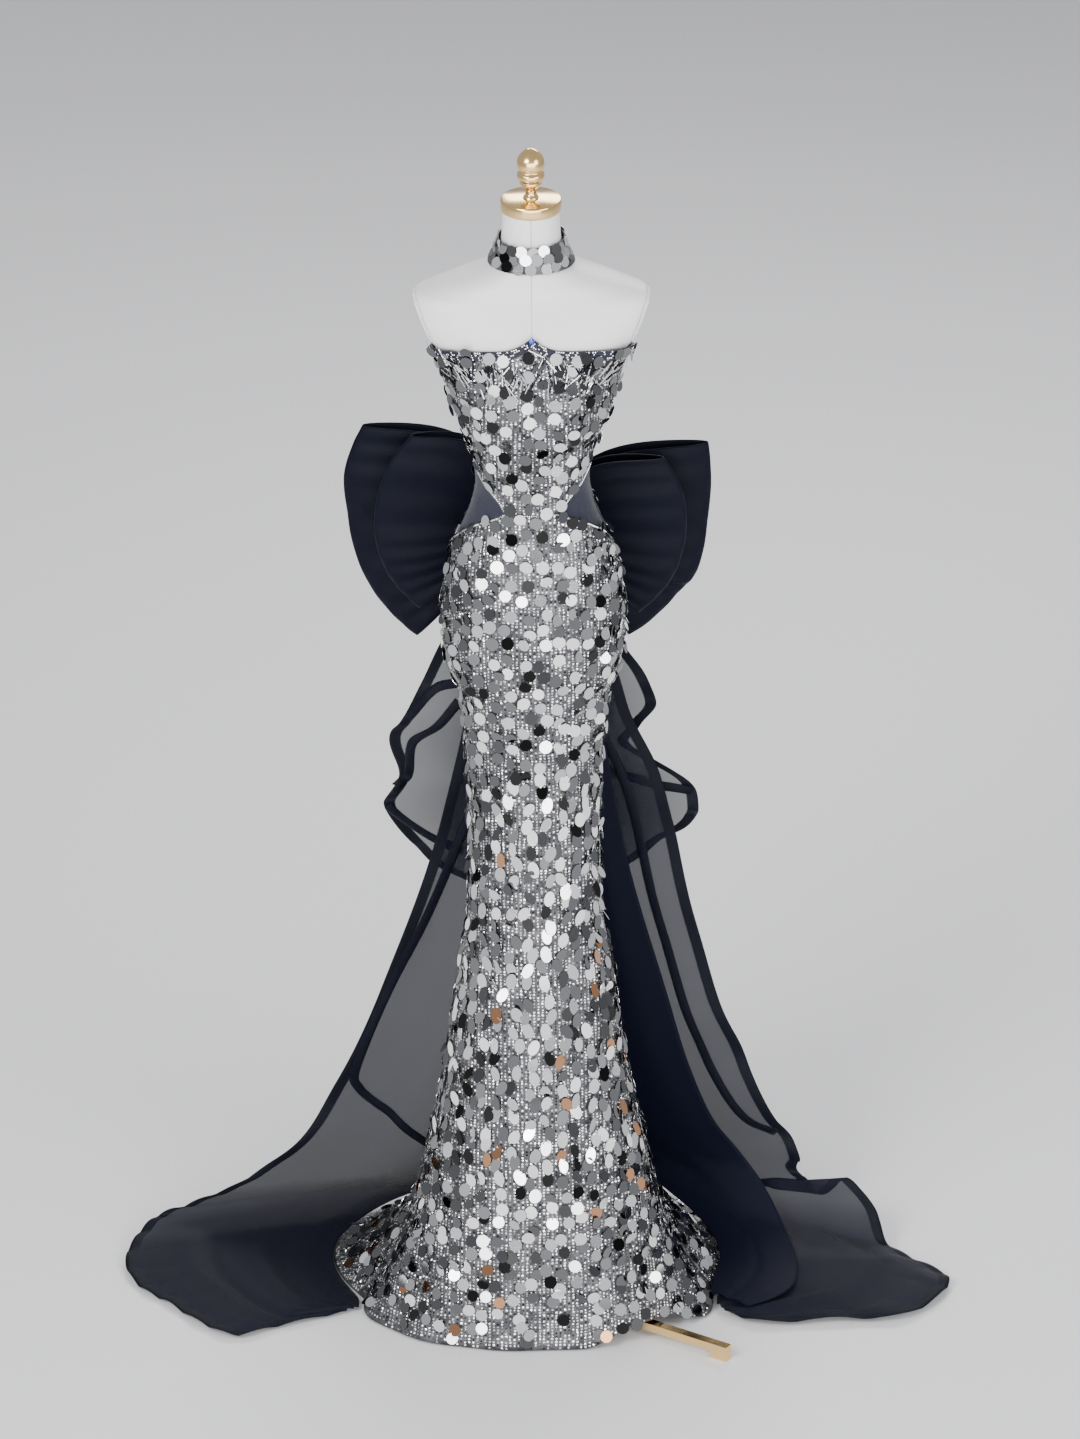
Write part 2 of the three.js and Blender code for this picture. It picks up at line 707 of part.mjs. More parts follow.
// A loop runs out from the knot on its front face, round the outer fold and back behind.
// Seen from above it is a drop shape; its outline from the front follows the table.
function loopPoint(loop, around, down) {
  const { side, offset, lean, bulge, pleats, phase, outline } = loop;
  const { x: rootX, halfHeight, halfGap, startAngle } = LOOP_ROOT;
  const turn = deg(lerp(startAngle, 360 - startAngle, around));
  const start = Math.cos(deg(startAngle));
  const out = (start - Math.cos(turn)) / (start + 1);
  const place = down * (outline.length - 1);
  const low = Math.min(outline.length - 2, Math.floor(place));
  const share = place - low;
  const angle = deg(lerp(outline[low][0], outline[low + 1][0], share));
  const reach = lerp(outline[low][1], outline[low + 1][1], share);
  const rootZ = KNOT.height + halfHeight * (1 - 2 * down);
  const rootY = knotCentreY(rootZ) + offset;
  const tipY = knotCentreY(KNOT.height) + offset + lean;
  const face = around < 0.5 ? 1 : -1;
  const gap = face * halfGap * (1 - out) + bulge * Math.sin(turn) * Math.sqrt(Math.max(0, out));
  const crease = PLEAT_DEPTH * Math.sin(2 * Math.PI * pleats * down + phase)
    * Math.sqrt(Math.max(0, out)) * (1 - 0.75 * out);
  const rise = 1 - Math.max(0, 1 - out) ** (1 + LOOP_PUFF * (1 - down) ** 1.5);
  return new THREE.Vector3(
    side * lerp(rootX, reach * Math.cos(angle), out),
    lerp(rootY, tipY, out) - gap + crease,
    lerp(rootZ, KNOT.height + reach * Math.sin(angle), rise),
  );
}

function bowLoop(name) {
  const loop = BOW_LOOPS[name];
  const geometry = parametricWall((u, v) => loopPoint(loop, u, v), 10, 12, loop.side * ORGANZA);
  addPiece(name, geometry, 'organza');
}

// A hanging sheet: straight across between its two edges, with soft lengthwise folds
// that are deepest in the middle of its width and shallow where it is sewn on.
function sheetSurface(table, side, { folds, depth, phase }) {
  const inner = table.map(([angle, z, away]) => {
    const point = figurePoint(angle, z);
    const plan = new THREE.Vector3(point.x, point.y, 0).normalize();
    point.addScaledVector(plan, away);
    return new THREE.Vector3(side * point.x, point.y, z);
  });
  const outer = table.map(([, , , x, y, z]) => new THREE.Vector3(side * x, y, z));
  const innerEdge = new THREE.CatmullRomCurve3(inner, false, 'centripetal');
  const outerEdge = new THREE.CatmullRomCurve3(outer, false, 'centripetal');
  return (u, v) => {
    const a = innerEdge.getPoint(v);
    const b = outerEdge.getPoint(v);
    const point = a.clone().lerp(b, u);
    const wave = depth * Math.sin(Math.PI * u) * Math.sin(2 * Math.PI * folds * u + phase);
    const hung = THREE.MathUtils.smoothstep(v, 0, 0.2);
    const lying = THREE.MathUtils.smoothstep(point.z, 10, 160);
    point.y += wave * hung * lying;
    point.z += Math.abs(wave) * hung * (1 - lying);
    return point;
  };
}

function hangingSheet(name, table, side, options) {
  const { rows, columns, finish = 'organza' } = options;
  const surface = sheetSurface(table, side, options);
  addPiece(name, parametricWall(surface, rows, columns, side * ORGANZA, FLOOR_CLEARANCE), finish);
}

function toManifold(geometry) {
  const plain = geometry.clone();
  plain.deleteAttribute('normal');
  plain.deleteAttribute('uv');
  const merged = mergeVertices(plain, 1e-4);
  return new manifoldLibrary.Manifold(new manifoldLibrary.Mesh({
    numProp: 3,
    vertProperties: new Float32Array(merged.attributes.position.array),
    triVerts: new Uint32Array(merged.index.array),
  }));
}

function fromManifold(solid) {
  const mesh = solid.getMesh();
  const geometry = new THREE.BufferGeometry();
  geometry.setAttribute('position', new THREE.BufferAttribute(new Float32Array(mesh.vertProperties), 3));
  geometry.setIndex(new THREE.BufferAttribute(new Uint32Array(mesh.triVerts), 1));
  geometry.computeVertexNormals();
  return geometry;
}

// A slab beside the armhole plane. near and far are distances past the plane, outwards.
function armholeSlab(side, near, far) {
  const { lowX, lowZ, highX, highZ } = ARM_PLANE;
  const reach = Math.hypot(highX - lowX, highZ - lowZ) + ARM_PLATE;
  const slab = new THREE.BoxGeometry(far - near, 400, reach);
  slab.translate((near + far) / 2, 0, 0);
  slab.rotateY(Math.atan2(highX - lowX, highZ - lowZ));
  slab.translate((lowX + highX) / 2, 0, (lowZ + highZ) / 2);
  if (side < 0) {
    slab.rotateZ(Math.PI);
  }
  return toManifold(slab);
}

// The form is one smooth closed body, with a flat plate over each armhole
function dressForm() {
  const levels = FIGURE.map(([z]) => z).filter((z) => z > TORSO_BOTTOM);
  const sections = [TORSO_BOTTOM];
  for (const level of levels) {
    const from = sections[sections.length - 1];
    sections.push(...evenSteps(from, level, Math.ceil((level - from) / FORM_STEP)).slice(1));
  }
  const sides = 30;
  const points = [];
  const faces = [];
  for (const z of sections) {
    for (let k = 0; k < sides; k += 1) {
      points.push(figurePoint((360 * k) / sides, z, FORM_CLEARANCE));
    }
  }
  const base = points.length;
  points.push(new THREE.Vector3(0, 0, TORSO_BOTTOM));
  points.push(new THREE.Vector3(0, 0, sections[sections.length - 1]));
  for (let k = 0; k < sides; k += 1) {
    const next = (k + 1) % sides;
    for (let r = 0; r < sections.length - 1; r += 1) {
      const a = r * sides + k;
      const b = r * sides + next;
      faces.push([a, b, b + sides], [a, b + sides, a + sides]);
    }
    const top = (sections.length - 1) * sides;
    faces.push([base, next, k], [base + 1, top + k, top + next]);
  }
  const whole = toManifold(closedGeometry(points, faces));
  let torso = whole;
  for (const [name, side] of [['arm_plate_left', -1], ['arm_plate_right', 1]]) {
    torso = torso.subtract(armholeSlab(side, -ARM_PLATE - SEAM_GAP, 300));
    addPiece(name, fromManifold(whole.intersect(armholeSlab(side, -ARM_PLATE, 0))), 'form');
  }
  addPiece('form_torso', fromManifold(torso), 'form');
}

function turned(profile, segments) {
  const geometry = new THREE.LatheGeometry(profile.map(([r, z]) => new THREE.Vector2(r, z)), segments);
  geometry.rotateX(Math.PI / 2);
  return geometry;
}

function neckCap() {
  const bottom = NECK_TOP + SEAM_GAP;
  const { radius, height, edge } = CAP;
  const profile = [[0, 0], [radius, 0], [radius, height - edge], [radius - edge, height], [0, height]];
  addPiece('neck_cap', turned(profile.map(([r, z]) => [r, bottom + z]), 24), 'gilt');
}

function finial() {
  const bottom = NECK_TOP + CAP.height + 2 * SEAM_GAP;
  addPiece('finial', turned(FINIAL.map(([r, z]) => [r, bottom + z]), 16), 'gilt');
}

function stand() {
  const legTop = FOOT_HEIGHT + LEG_HEIGHT;
  const hubBottom = legTop + SEAM_GAP;
  const hubTop = hubBottom + HUB.height;
  const hub = [
    [0, hubBottom],
    [HUB.radius, hubBottom],
    [HUB.radius, hubBottom + HUB.rim],
    [HUB.neck, hubTop],
    [0, hubTop],
  ];
  addPiece('stand_hub', turned(hub, 20), 'gilt');
  const poleBottom = hubTop + SEAM_GAP;
  const poleTop = TORSO_BOTTOM - SEAM_GAP;
  const pole = [[0, poleBottom], [POLE_RADIUS, poleBottom], [POLE_RADIUS, poleTop], [0, poleTop]];
  addPiece('stand_pole', turned(pole, 16), 'gilt');
  for (const [name, direction, length] of LEGS) {
    const side = new THREE.Shape([
      new THREE.Vector2(LEG_ROOT, FOOT_HEIGHT),
      new THREE.Vector2(length - FOOT_LENGTH, FOOT_HEIGHT),
      new THREE.Vector2(length - FOOT_LENGTH, 0),
      new THREE.Vector2(length, 0),
      new THREE.Vector2(length, legTop),
      new THREE.Vector2(LEG_ROOT, legTop),
    ]);
    const bar = new THREE.ExtrudeGeometry(side, { depth: LEG_WIDTH, bevelEnabled: false });
    bar.translate(0, 0, -LEG_WIDTH / 2);
    bar.rotateX(Math.PI / 2);
    bar.rotateZ(deg(direction));
    addPiece(name, bar, 'gilt');
  }
}

dressForm();
neckCap();
finial();
stand();
bodiceFront();
for (const [end, side] of [['left', -1], ['right', 1]]) {
  bodiceBack(`bodice_back_${end}`, side);
  waistInset(`inset_${end}`, side);
  skirtFront(`skirt_front_${end}`, side);
  skirtBack(`skirt_back_${end}`, side);
}
backZip();
necklineTrim();
centreCrystal();
neckBand();
bowKnot();
Object.keys(BOW_LOOPS).forEach(bowLoop);
hangingSheet('tail_left', TAIL_LEFT, -1, SHEET_FOLDS.tail_left);
hangingSheet('tail_right', TAIL_RIGHT, 1, SHEET_FOLDS.tail_right);
hangingSheet('panel_right', PANEL_RIGHT, 1, SHEET_FOLDS.panel_right);
hangingSheet('cascade_left', CASCADE_LEFT, -1, SHEET_FOLDS.cascade_left);
hangingSheet('cascade_right', CASCADE_RIGHT, 1, SHEET_FOLDS.cascade_right);

// The origin is under the middle of the whole
gown.updateMatrixWorld(true);
const box = new THREE.Box3().setFromObject(gown);
const centre = box.getCenter(new THREE.Vector3());
gown.position.set(-centre.x, -centre.y, 0);

export default gown;
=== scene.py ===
"""A strapless trumpet gown in silver sequins with sheer waist insets, a two-layer organza bow and
organza tails, on a limbless dress form with a gilt stand. Lengths are in millimetres from the stand's
pole until a mesh is made."""
import math

import bpy
import numpy as np
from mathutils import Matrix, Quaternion, Vector


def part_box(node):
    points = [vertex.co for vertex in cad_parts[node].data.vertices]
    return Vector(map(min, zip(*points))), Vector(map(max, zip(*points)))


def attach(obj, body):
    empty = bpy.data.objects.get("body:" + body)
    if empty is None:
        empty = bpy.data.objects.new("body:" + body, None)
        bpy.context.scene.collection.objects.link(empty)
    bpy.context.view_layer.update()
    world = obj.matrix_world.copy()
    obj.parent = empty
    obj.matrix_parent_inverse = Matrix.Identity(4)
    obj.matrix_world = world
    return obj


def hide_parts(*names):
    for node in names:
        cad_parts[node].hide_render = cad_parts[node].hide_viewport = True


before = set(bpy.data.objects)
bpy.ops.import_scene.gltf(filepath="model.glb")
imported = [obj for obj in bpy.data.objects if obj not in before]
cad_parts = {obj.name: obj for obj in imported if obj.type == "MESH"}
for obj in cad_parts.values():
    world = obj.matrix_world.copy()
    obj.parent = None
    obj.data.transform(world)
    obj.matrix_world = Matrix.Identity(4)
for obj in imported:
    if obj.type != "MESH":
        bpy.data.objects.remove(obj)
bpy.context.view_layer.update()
POLE_LOW, POLE_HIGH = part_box("stand_pole")
POLE = np.array([(POLE_LOW.x + POLE_HIGH.x) / 2, (POLE_LOW.y + POLE_HIGH.y) / 2, 0])
RANDOM = np.random.default_rng(7)

SECTION_ROUNDNESS = 2.15
BUST = {"across": 66, "height": 1596, "fullness": 13, "reach_across": 44, "reach_up": 50}
FLUTE_TOP = 420
SEAM_GAP = 0.3
HEM_HEIGHT = 3
LEG_LIFT = {"angle": 42, "flat": 8, "width": 22, "height": 26.5}
SIDE_SEAM_FRONT, SIDE_SEAM_BACK, BACK_PANEL_ANGLE = 91.9, 92.25, 100
WAIST_SEAM_BACK = 1400
INSET_TIP_ANGLE, INSET_EDGE_GAP = 28.6, 0.6
ZIP_FOOT, ZIP_HALF_WIDTH = 1234, 4
SEQUIN_CLOTH, NET_CLOTH, ORGANZA, TRIM_THICKNESS = 1.6, 1.2, 1.2, 1.6
FLOOR_CLEARANCE = 0.9
FORM_CLEARANCE, TORSO_BOTTOM, NECK_TOP = 4, 1100, 1889
ARM_PLANE = {"low": (152, 1677), "high": (182, 1757), "plate": 5}
KNOT = {"height": 1310, "half_height": 45, "half_width": 28, "half_depth": 32, "boxiness": 4}
LOOP_ROOT = {"x": 29.2, "half_height": 36, "half_gap": 5, "start": 10}
PLEAT_DEPTH = 5
LOOP_PUFF = 3.4

# The finish of the scene
# A small share of the low paillettes take a brown tone, a painted reflection of a wooden floor.
PAILLETTE = {
    "radius": 10.0, "thickness": 0.35, "sides": 12, "row_pitch": 25.5, "pitch": 25, "jitter": 8.5,
    "margin": 9, "lift": (3.8, 6.4), "tilt": 0.21, "turn": 0.5, "floor_reflection_share": 0.035, "floor_reflection_tone": 0.99,
    "floor_reflection_below": 900, "foot": 11.5, "top": 17,
}
# Where the paillettes are thinned out at the middle of the hem, and where they are drawn out into ovals
HEM_THINNING = {"angle": 24, "height": 75, "share": 0.5}
OVALS = {"start": (230, 330), "end": (930, 1030), "narrower": 0.16, "longer": 0.32}
ROW_SEQUIN = {
    "radius": 2.2, "thickness": 1.2, "row_pitch": 5.0, "pitch": 6.6, "jitter": 0.4, "margin": 3,
    "lift": 2.1, "foot": 6, "tilt": 0.22, "turn": 1.5, "sides": 4,
}
EDGE_DISC = {"radius": 9.6, "thickness": 0.35, "sides": 14, "lift": 8.2}
NECK_DISC = {"radius": 9.5, "thickness": 0.35, "sides": 14, "lift": (2.4, 4.6), "step": 19}
# Columns: height, first angle
NECK_ROWS = [[1815, 0], [1826, 9], [1838, 3]]
NECKLINE_BEAD = {"radius": 1.55, "lift": 4.2, "pitch": 3.5, "depths": (2.0, 5.2, 8.4, 11.6)}
EDGE_BEAD = {"radius": 1.5, "lift": 1.6, "pitch": 3.4, "beside": 3.0}
BUGLE = {"count": 120, "spread": 62, "fall": (18, 72), "length": (14, 36), "radius": 0.95, "lift": 5.4}
ZIP_TOOTH = {"pitch": 1.7, "width": 1.5, "depth": 0.6, "height": 0.9, "top": 14, "foot": 6}
FOLD_BAND = {"width": 15, "away": 3.5, "thickness": 0.9, "rows": 60, "columns": 7}
FINE_CREASE = {"depth": 3.4, "a_pleat": 3.6}
BRAID_WIDTH = 19
# Heights between which a sheet goes over from lying to hanging
LYING = (10, 160)

# The gown's outer surface. Columns: height, half width, depth in front of the pole, behind it, spread
FIGURE = [
    [3, 276, 166, 385, 74], [25, 259, 162, 350, 50], [58, 240, 158, 314, 26], [109, 215, 153, 270, 8],
    [182, 187, 146, 232, 0], [243, 175, 140, 210, 0], [317, 161, 134, 187, 0], [390, 147, 127, 168, 0],
    [463, 136, 120, 152, 0], [536, 126, 112, 138, 0], [609, 116, 104, 124, 0], [716, 101, 95, 106, 0],
    [856, 99, 90, 96, 0], [939, 101, 90, 94, 0], [1005, 105, 92, 95, 0], [1064, 111, 96, 100, 0],
    [1098, 117, 99, 107, 0], [1132, 130, 101, 115, 0], [1184, 139, 103, 124, 0],
    [1235, 138, 102, 120, 0], [1303, 130, 95, 103, 0], [1337, 121, 90, 93, 0], [1371, 105, 84, 84, 0],
    [1405, 93, 79, 77, 0], [1438, 87, 78, 74, 0], [1506, 95, 90, 83, 0], [1573, 121, 104, 96, 0],
    [1640, 139, 106, 100, 0], [1672, 153, 103, 100, 0], [1700, 176, 96, 98, 0], [1725, 190, 88, 95, 0],
    [1745, 192, 79, 91, 0], [1756, 184, 74, 88, 0], [1767, 160, 70, 84, 0], [1780, 126, 67, 80, 0],
    [1792, 92, 63, 74, 0], [1803, 69, 59, 66, 0], [1812, 60, 55, 60, 0], [1822, 54, 53, 57, 0],
    [1850, 49, 48, 50, 0], [1889, 47, 47, 47, 0],
]

# Low flutes that run out to the hem. Columns: angle from the front, width, depth
FLUTES = [
    [-148, 16, 10], [-112, 14, 9], [-72, 11, 7], [-38, 12, 6], [-10, 10, 5], [21, 12, 6], [74, 10, 7],
    [108, 14, 9], [143, 16, 10],
]

# Top edge of the bodice. Columns: angle from the front, height
NECKLINE = [
    [0, 1716], [5, 1704], [12, 1697], [25, 1694], [45, 1689], [65, 1680], [80, 1674], [92, 1669],
    [120, 1655], [150, 1645], [180, 1640],
]

# Side cut-out at the waist. Columns: angle from the front, upper edge, lower edge
CUTOUT = [
    [27, 1415, 1415], [33, 1427, 1408], [40, 1436, 1402], [48, 1445, 1396], [57, 1454, 1388],
    [66, 1466, 1378], [75, 1477, 1368], [84, 1489, 1355], [91.9, 1497, 1343], [99.6, 1481, 1359],
]

# Columns: radius, height above the neck
CAP = [[0, 0], [44.5, 0], [46.2, 1.2], [46.5, 3], [46.5, 16], [46, 18], [44.5, 19], [0, 19]]

# Columns: radius, height above the cap
FINIAL = [
    [0, 0], [12, 0], [11, 3], [8.5, 6], [8.5, 15], [12, 19], [17, 24], [17, 28], [20.5, 33], [20.5, 40],
    [17, 45], [20, 49], [21, 57], [19, 66], [13, 74], [6, 79], [0, 80.5],
]

# Hanging organza. Columns: inner angle, inner height, inner distance off the skirt, then the outer
# edge's place to the side, behind the pole and above the floor

TAIL_LEFT = [
    [179.4, 1264.3, 28, 18, 141, 1264.3], [179.4, 1180, 26, 70, 150, 1180],
    [179, 1060, 50, 100, 158, 1060], [179, 934, 62, 112, 170, 934], [178, 804, 68, 140, 180, 804],
    [177, 693, 70, 166, 190, 693], [176, 538, 55, 217, 205, 538], [175, 422, 45, 257, 215, 422],
    [173, 282, 35, 318, 225, 282], [171, 193, 28, 364, 230, 193], [168, 110, 24, 425, 235, 125],
    [164, 60, 22, 490, 240, 78], [156, 32, 22, 560, 238, 45], [146, 22, 20, 615, 225, 30],
    [134, 18, 18, 648, 180, 16], [122, 15, 16, 662, 110, 8], [112, 12, 14, 636, 36, 6],
    [104, 10, 12, 590, -15, 6], [98, 9, 12, 535, -85, 8], [93, 8, 12, 480, -125, 8],
    [88, 8, 12, 410, -92, 6], [80, 8, 12, 318, -52, 6],
]

TAIL_RIGHT = [
    [179.4, 1264.3, 28, 18, 141, 1264.3], [179.4, 1180, 26, 70, 148, 1180],
    [179, 1037, 52, 129, 165, 1037], [179, 955, 62, 153, 172, 952], [178, 849, 66, 197, 178, 848],
    [177, 765, 68, 217, 183, 764], [176, 658, 66, 237, 192, 657], [176, 554, 58, 260, 202, 553],
    [175, 426, 48, 293, 212, 425], [174, 340, 42, 325, 218, 348], [173, 270, 40, 345, 222, 290],
    [171, 200, 38, 386, 225, 200], [168, 168, 38, 414, 236, 157], [162, 140, 38, 424, 232, 122],
    [154, 118, 36, 418, 226, 114], [146, 102, 34, 432, 214, 100], [139, 90, 32, 458, 206, 72],
    [133, 78, 30, 500, 197, 106], [128, 66, 28, 545, 178, 60], [123, 56, 26, 562, 146, 16],
    [118, 50, 24, 606, 100, 10], [112, 38, 22, 657, 46, 8], [104, 28, 20, 648, 0, 8],
    [98, 20, 18, 581, -77, 9], [92, 15, 16, 470, -88, 9], [86, 10, 14, 353, -95, 9],
    [80, 10, 14, 300, -66, 9],
]

PANEL_RIGHT = [
    [179.4, 1264.3, 14, 12, 128, 1264.3], [179.2, 1180, 12, 58, 131, 1180],
    [179, 1000, 34, 98, 138, 1000], [178.5, 800, 46, 130, 146, 800], [178, 678, 46, 153, 154, 678],
    [177, 475, 34, 205, 170, 475], [175, 323, 26, 245, 182, 323], [172, 230, 22, 285, 190, 220],
    [166, 180, 22, 322, 192, 168], [156, 150, 24, 345, 188, 136], [146, 125, 24, 362, 176, 114],
    [136, 105, 22, 380, 156, 86], [126, 86, 20, 398, 126, 56], [116, 66, 18, 412, 84, 38],
    [107, 48, 16, 416, 40, 28], [99, 34, 14, 408, 0, 24], [92, 26, 12, 380, -36, 22],
    [86, 20, 10, 335, -62, 20],
]

CASCADE_LEFT = [
    [179.4, 1264.3, 43, 14, 156, 1264.3], [179.2, 1180, 44, 80, 172, 1180],
    [179, 1094, 70, 138, 192, 1088], [179, 1008, 92, 177, 215, 990], [179, 941, 100, 211, 190, 935],
    [179, 890, 104, 229, 215, 895], [179, 835, 104, 215, 245, 810], [179, 796, 106, 239, 205, 785],
    [178, 732, 108, 202, 235, 708], [178, 696, 108, 169, 215, 680], [177, 640, 106, 110, 215, 640],
]

CASCADE_RIGHT = [
    [179.4, 1264.3, 43, 14, 156, 1264.3], [179.2, 1180, 44, 78, 172, 1180],
    [179, 1073, 70, 141, 192, 1067], [179, 1000, 92, 180, 205, 996], [179, 960, 98, 192, 190, 963],
    [179, 925, 100, 166, 205, 919], [179, 880, 104, 150, 235, 872], [179, 835, 104, 248, 210, 815],
    [179, 789, 106, 259, 205, 779], [178, 765, 108, 252, 220, 745], [178, 734, 108, 210, 240, 705],
    [178, 700, 108, 166, 215, 683], [177, 650, 106, 115, 215, 645],
]

# Outlines of the bow's loops. Columns: angle above level, reach from the knot
LOOPS = {
    "bow_left_back": {
        "side": -1, "offset": 15, "lean": 16, "bulge": 17, "pleats": 2.6, "phase": 0.4,
        "outline": [[29.5, 302], [14.8, 301], [-1.4, 288], [-18.8, 285], [-34.4, 283], [-49.2, 280]],
    },
    "bow_left_front": {
        "side": -1, "offset": -11, "lean": -14, "bulge": 14, "pleats": 2.2, "phase": 1.9,
        "outline": [[40, 243], [22, 247], [0, 246], [-18, 240], [-38, 225]],
    },
    "bow_right_back": {
        "side": 1, "offset": 15, "lean": 16, "bulge": 17, "pleats": 2.4, "phase": 2.5,
        "outline": [[23.2, 295], [12, 282], [-5, 271], [-22.3, 274], [-32.7, 265], [-54.9, 259]],
    },
    "bow_right_front": {
        "side": 1, "offset": -11, "lean": -14, "bulge": 14, "pleats": 2.3, "phase": 0.9,
        "outline": [[30, 232], [12, 238], [-5, 236], [-22, 232], [-42, 220]],
    },
}


def smooth_row(table, place):
    """Rows of a table at places between its rows: cubic curves whose tangents are the harmonic mean
    of the slopes beside each row, and zero where the slopes differ in sign."""
    rows = np.asarray(table, float)
    if rows[0, 0] > rows[-1, 0]:
        rows = rows[::-1]
    x, y = rows[:, 0], rows[:, 1:]
    slope = np.diff(y, axis=0) / np.diff(x)[:, None]
    product = slope[:-1] * slope[1:]
    total = slope[:-1] + slope[1:]
    middle = np.where(product > 0, 2 * product / np.where(total == 0, 1, total), 0)
    tangent = np.vstack([slope[:1], middle, slope[-1:]])
    at = np.clip(np.asarray(place, float), x[0], x[-1])
    k = np.clip(np.searchsorted(x, at) - 1, 0, len(x) - 2)
    step = (x[k + 1] - x[k])[..., None]
    t = (at - x[k])[..., None] / step
    return ((2 * t**3 - 3 * t**2 + 1) * y[k] + (t**3 - 2 * t**2 + t) * step * tangent[k]
            + (3 * t**2 - 2 * t**3) * y[k + 1] + (t**3 - t**2) * step * tangent[k + 1])


def straight(table, place, column):
    rows = np.asarray(table, float)
    return np.interp(place, rows[:, 0], rows[:, column])


def smoothstep(value, low, high):
    t = np.clip((value - low) / (high - low), 0, 1)
    return t * t * (3 - 2 * t)


def figure(degrees, z, lift=0.0):
    """Points of the gown's outer surface in millimetres from the pole. The section is a rounded oval,
    sign(s)|s|^(2/roundness) on both axes, with bust fullness in front, the spreading train behind
    and low flutes that fade out upwards. lift moves the points outwards in plan."""
    degrees, z = np.broadcast_arrays(np.asarray(degrees, float), np.asarray(z, float))
    half, front, back, spread = np.moveaxis(smooth_row(FIGURE, z), -1, 0)
    sine, cosine = np.sin(np.radians(degrees)), np.cos(np.radians(degrees))
    power = 2 / SECTION_ROUNDNESS
    x = np.sign(sine) * (half + lift) * np.abs(sine) ** power
    y = -np.sign(cosine) * (np.where(cosine > 0, front, back) + lift) * np.abs(cosine) ** power
    fullness = BUST["fullness"] * np.exp(-((np.abs(x) - BUST["across"]) / BUST["reach_across"]) ** 2
                                         - ((z - BUST["height"]) / BUST["reach_up"]) ** 2)
    y = y - np.where(cosine > 0, fullness * cosine, 0)
    behind = np.maximum(0, -cosine)
    push = spread * 4 * behind * (1 - behind) * np.abs(sine)
    flutes = sum(depth * np.exp(-(((degrees - angle) / width) ** 2)) for angle, width, depth in FLUTES)
    push = push + flutes * smoothstep(FLUTE_TOP - z, 0, FLUTE_TOP)
    return np.stack([x + sine * push, y - cosine * push, z + 0 * x], axis=-1)


def unit(vectors):
    return vectors / np.maximum(np.linalg.norm(vectors, axis=-1, keepdims=True), 1e-9)


def figure_frame(degrees, z):
    """Point, outward, upward and sideways directions of the gown's surface, from small differences."""
    across = unit(figure(degrees + 0.4, z) - figure(degrees - 0.4, z))
    up = figure(degrees, z + 0.8) - figure(degrees, z - 0.8)
    out = unit(np.cross(across, up))
    return figure(degrees, z), out, unit(np.cross(out, across)), across


def on_figure(places, lift=0.0):
    """Points on the gown for a grid of (angle, height), moved out along the surface's own direction."""
    point, out, _, _ = figure_frame(places[..., 0], places[..., 1])
    return point + out * lift


def running_length(points):
    """The length of a line of points from its start to each point."""
    return np.concatenate([[0], np.cumsum(np.linalg.norm(np.diff(points, axis=0), axis=1))])


def refine(grid, rows, columns):
    """A grid of values filled up with straight steps to rows by columns."""
    grid = np.asarray(grid, float)
    at_row = np.linspace(0, len(grid) - 1, rows)
    at_column = np.linspace(0, grid.shape[1] - 1, columns)
    r = np.minimum(at_row.astype(int), len(grid) - 2)
    c = np.minimum(at_column.astype(int), grid.shape[1] - 2)
    tr, tc = (at_row - r)[:, None, None], (at_column - c)[None, :, None]
    above = grid[r][:, c] * (1 - tc) + grid[r][:, c + 1] * tc
    below = grid[r + 1][:, c] * (1 - tc) + grid[r + 1][:, c + 1] * tc
    return above * (1 - tr) + below * tr


def grid_normals(grid, closed=False):
    """Unit normals of a grid of points, from the differences between its neighbours."""
    if closed:
        wide = np.concatenate([grid[:, -1:], grid, grid[:, :1]], axis=1)
        across = wide[:, 2:] - wide[:, :-2]
    else:
        across = np.gradient(grid, axis=1)
    return unit(np.cross(across, np.gradient(grid, axis=0)))


def wall(outer, inner, closed=False):
    """Points and four-sided faces of the closed wall between two grids that face each other. A closed
    grid joins the end of each row to its start."""
    rows, columns = outer.shape[:2]
    points = np.concatenate([outer.reshape(-1, 3), inner.reshape(-1, 3)])
    at = np.arange(rows * columns).reshape(rows, columns)
    ring = np.concatenate([at, at[:, :1]], axis=1) if closed else at
    far = rows * columns

    def strip(a, b):
        return np.stack([a[:-1], a[1:], b[1:], b[:-1]], axis=-1).reshape(-1, 4)

    front = np.stack([ring[:-1, :-1], ring[:-1, 1:], ring[1:, 1:], ring[1:, :-1]], axis=-1).reshape(-1, 4)
    faces = [front, front[:, ::-1] + far, strip(ring[0], ring[0] + far)[:, ::-1],
             strip(ring[-1], ring[-1] + far)]
    if not closed:
        faces += [strip(at[:, 0], at[:, 0] + far), strip(at[:, -1], at[:, -1] + far)[:, ::-1]]
    return points, np.concatenate(faces)


def ring_faces(rows, sides):
    """Faces of a body of closed rings of points, and the caps between its end rings and two poles, whose
    points follow the rings."""
    at = np.arange(rows * sides).reshape(rows, sides)
    after = np.roll(at, -1, axis=1)
    bands = np.stack([at[:-1], after[:-1], after[1:], at[1:]], axis=-1).reshape(-1, 4)
    pole = 0 * at[0] + at.size
    caps = np.concatenate([np.stack([after[0], at[0], pole], axis=1),
                           np.stack([at[-1], after[-1], pole + 1], axis=1)])
    return bands, caps


def outward(points, faces):
    """The faces, turned if need be so that they enclose a positive volume."""
    a, b, c = points[faces[:, 0]], points[faces[:, 1]], points[faces[:, 2]]
    volume = np.einsum("ij,ij->i", a, np.cross(b, c)).sum()
    if faces.shape[1] == 4:
        d = points[faces[:, 3]]
        volume += np.einsum("ij,ij->i", a, np.cross(c, d)).sum()
    return faces if volume > 0 else faces[:, ::-1]


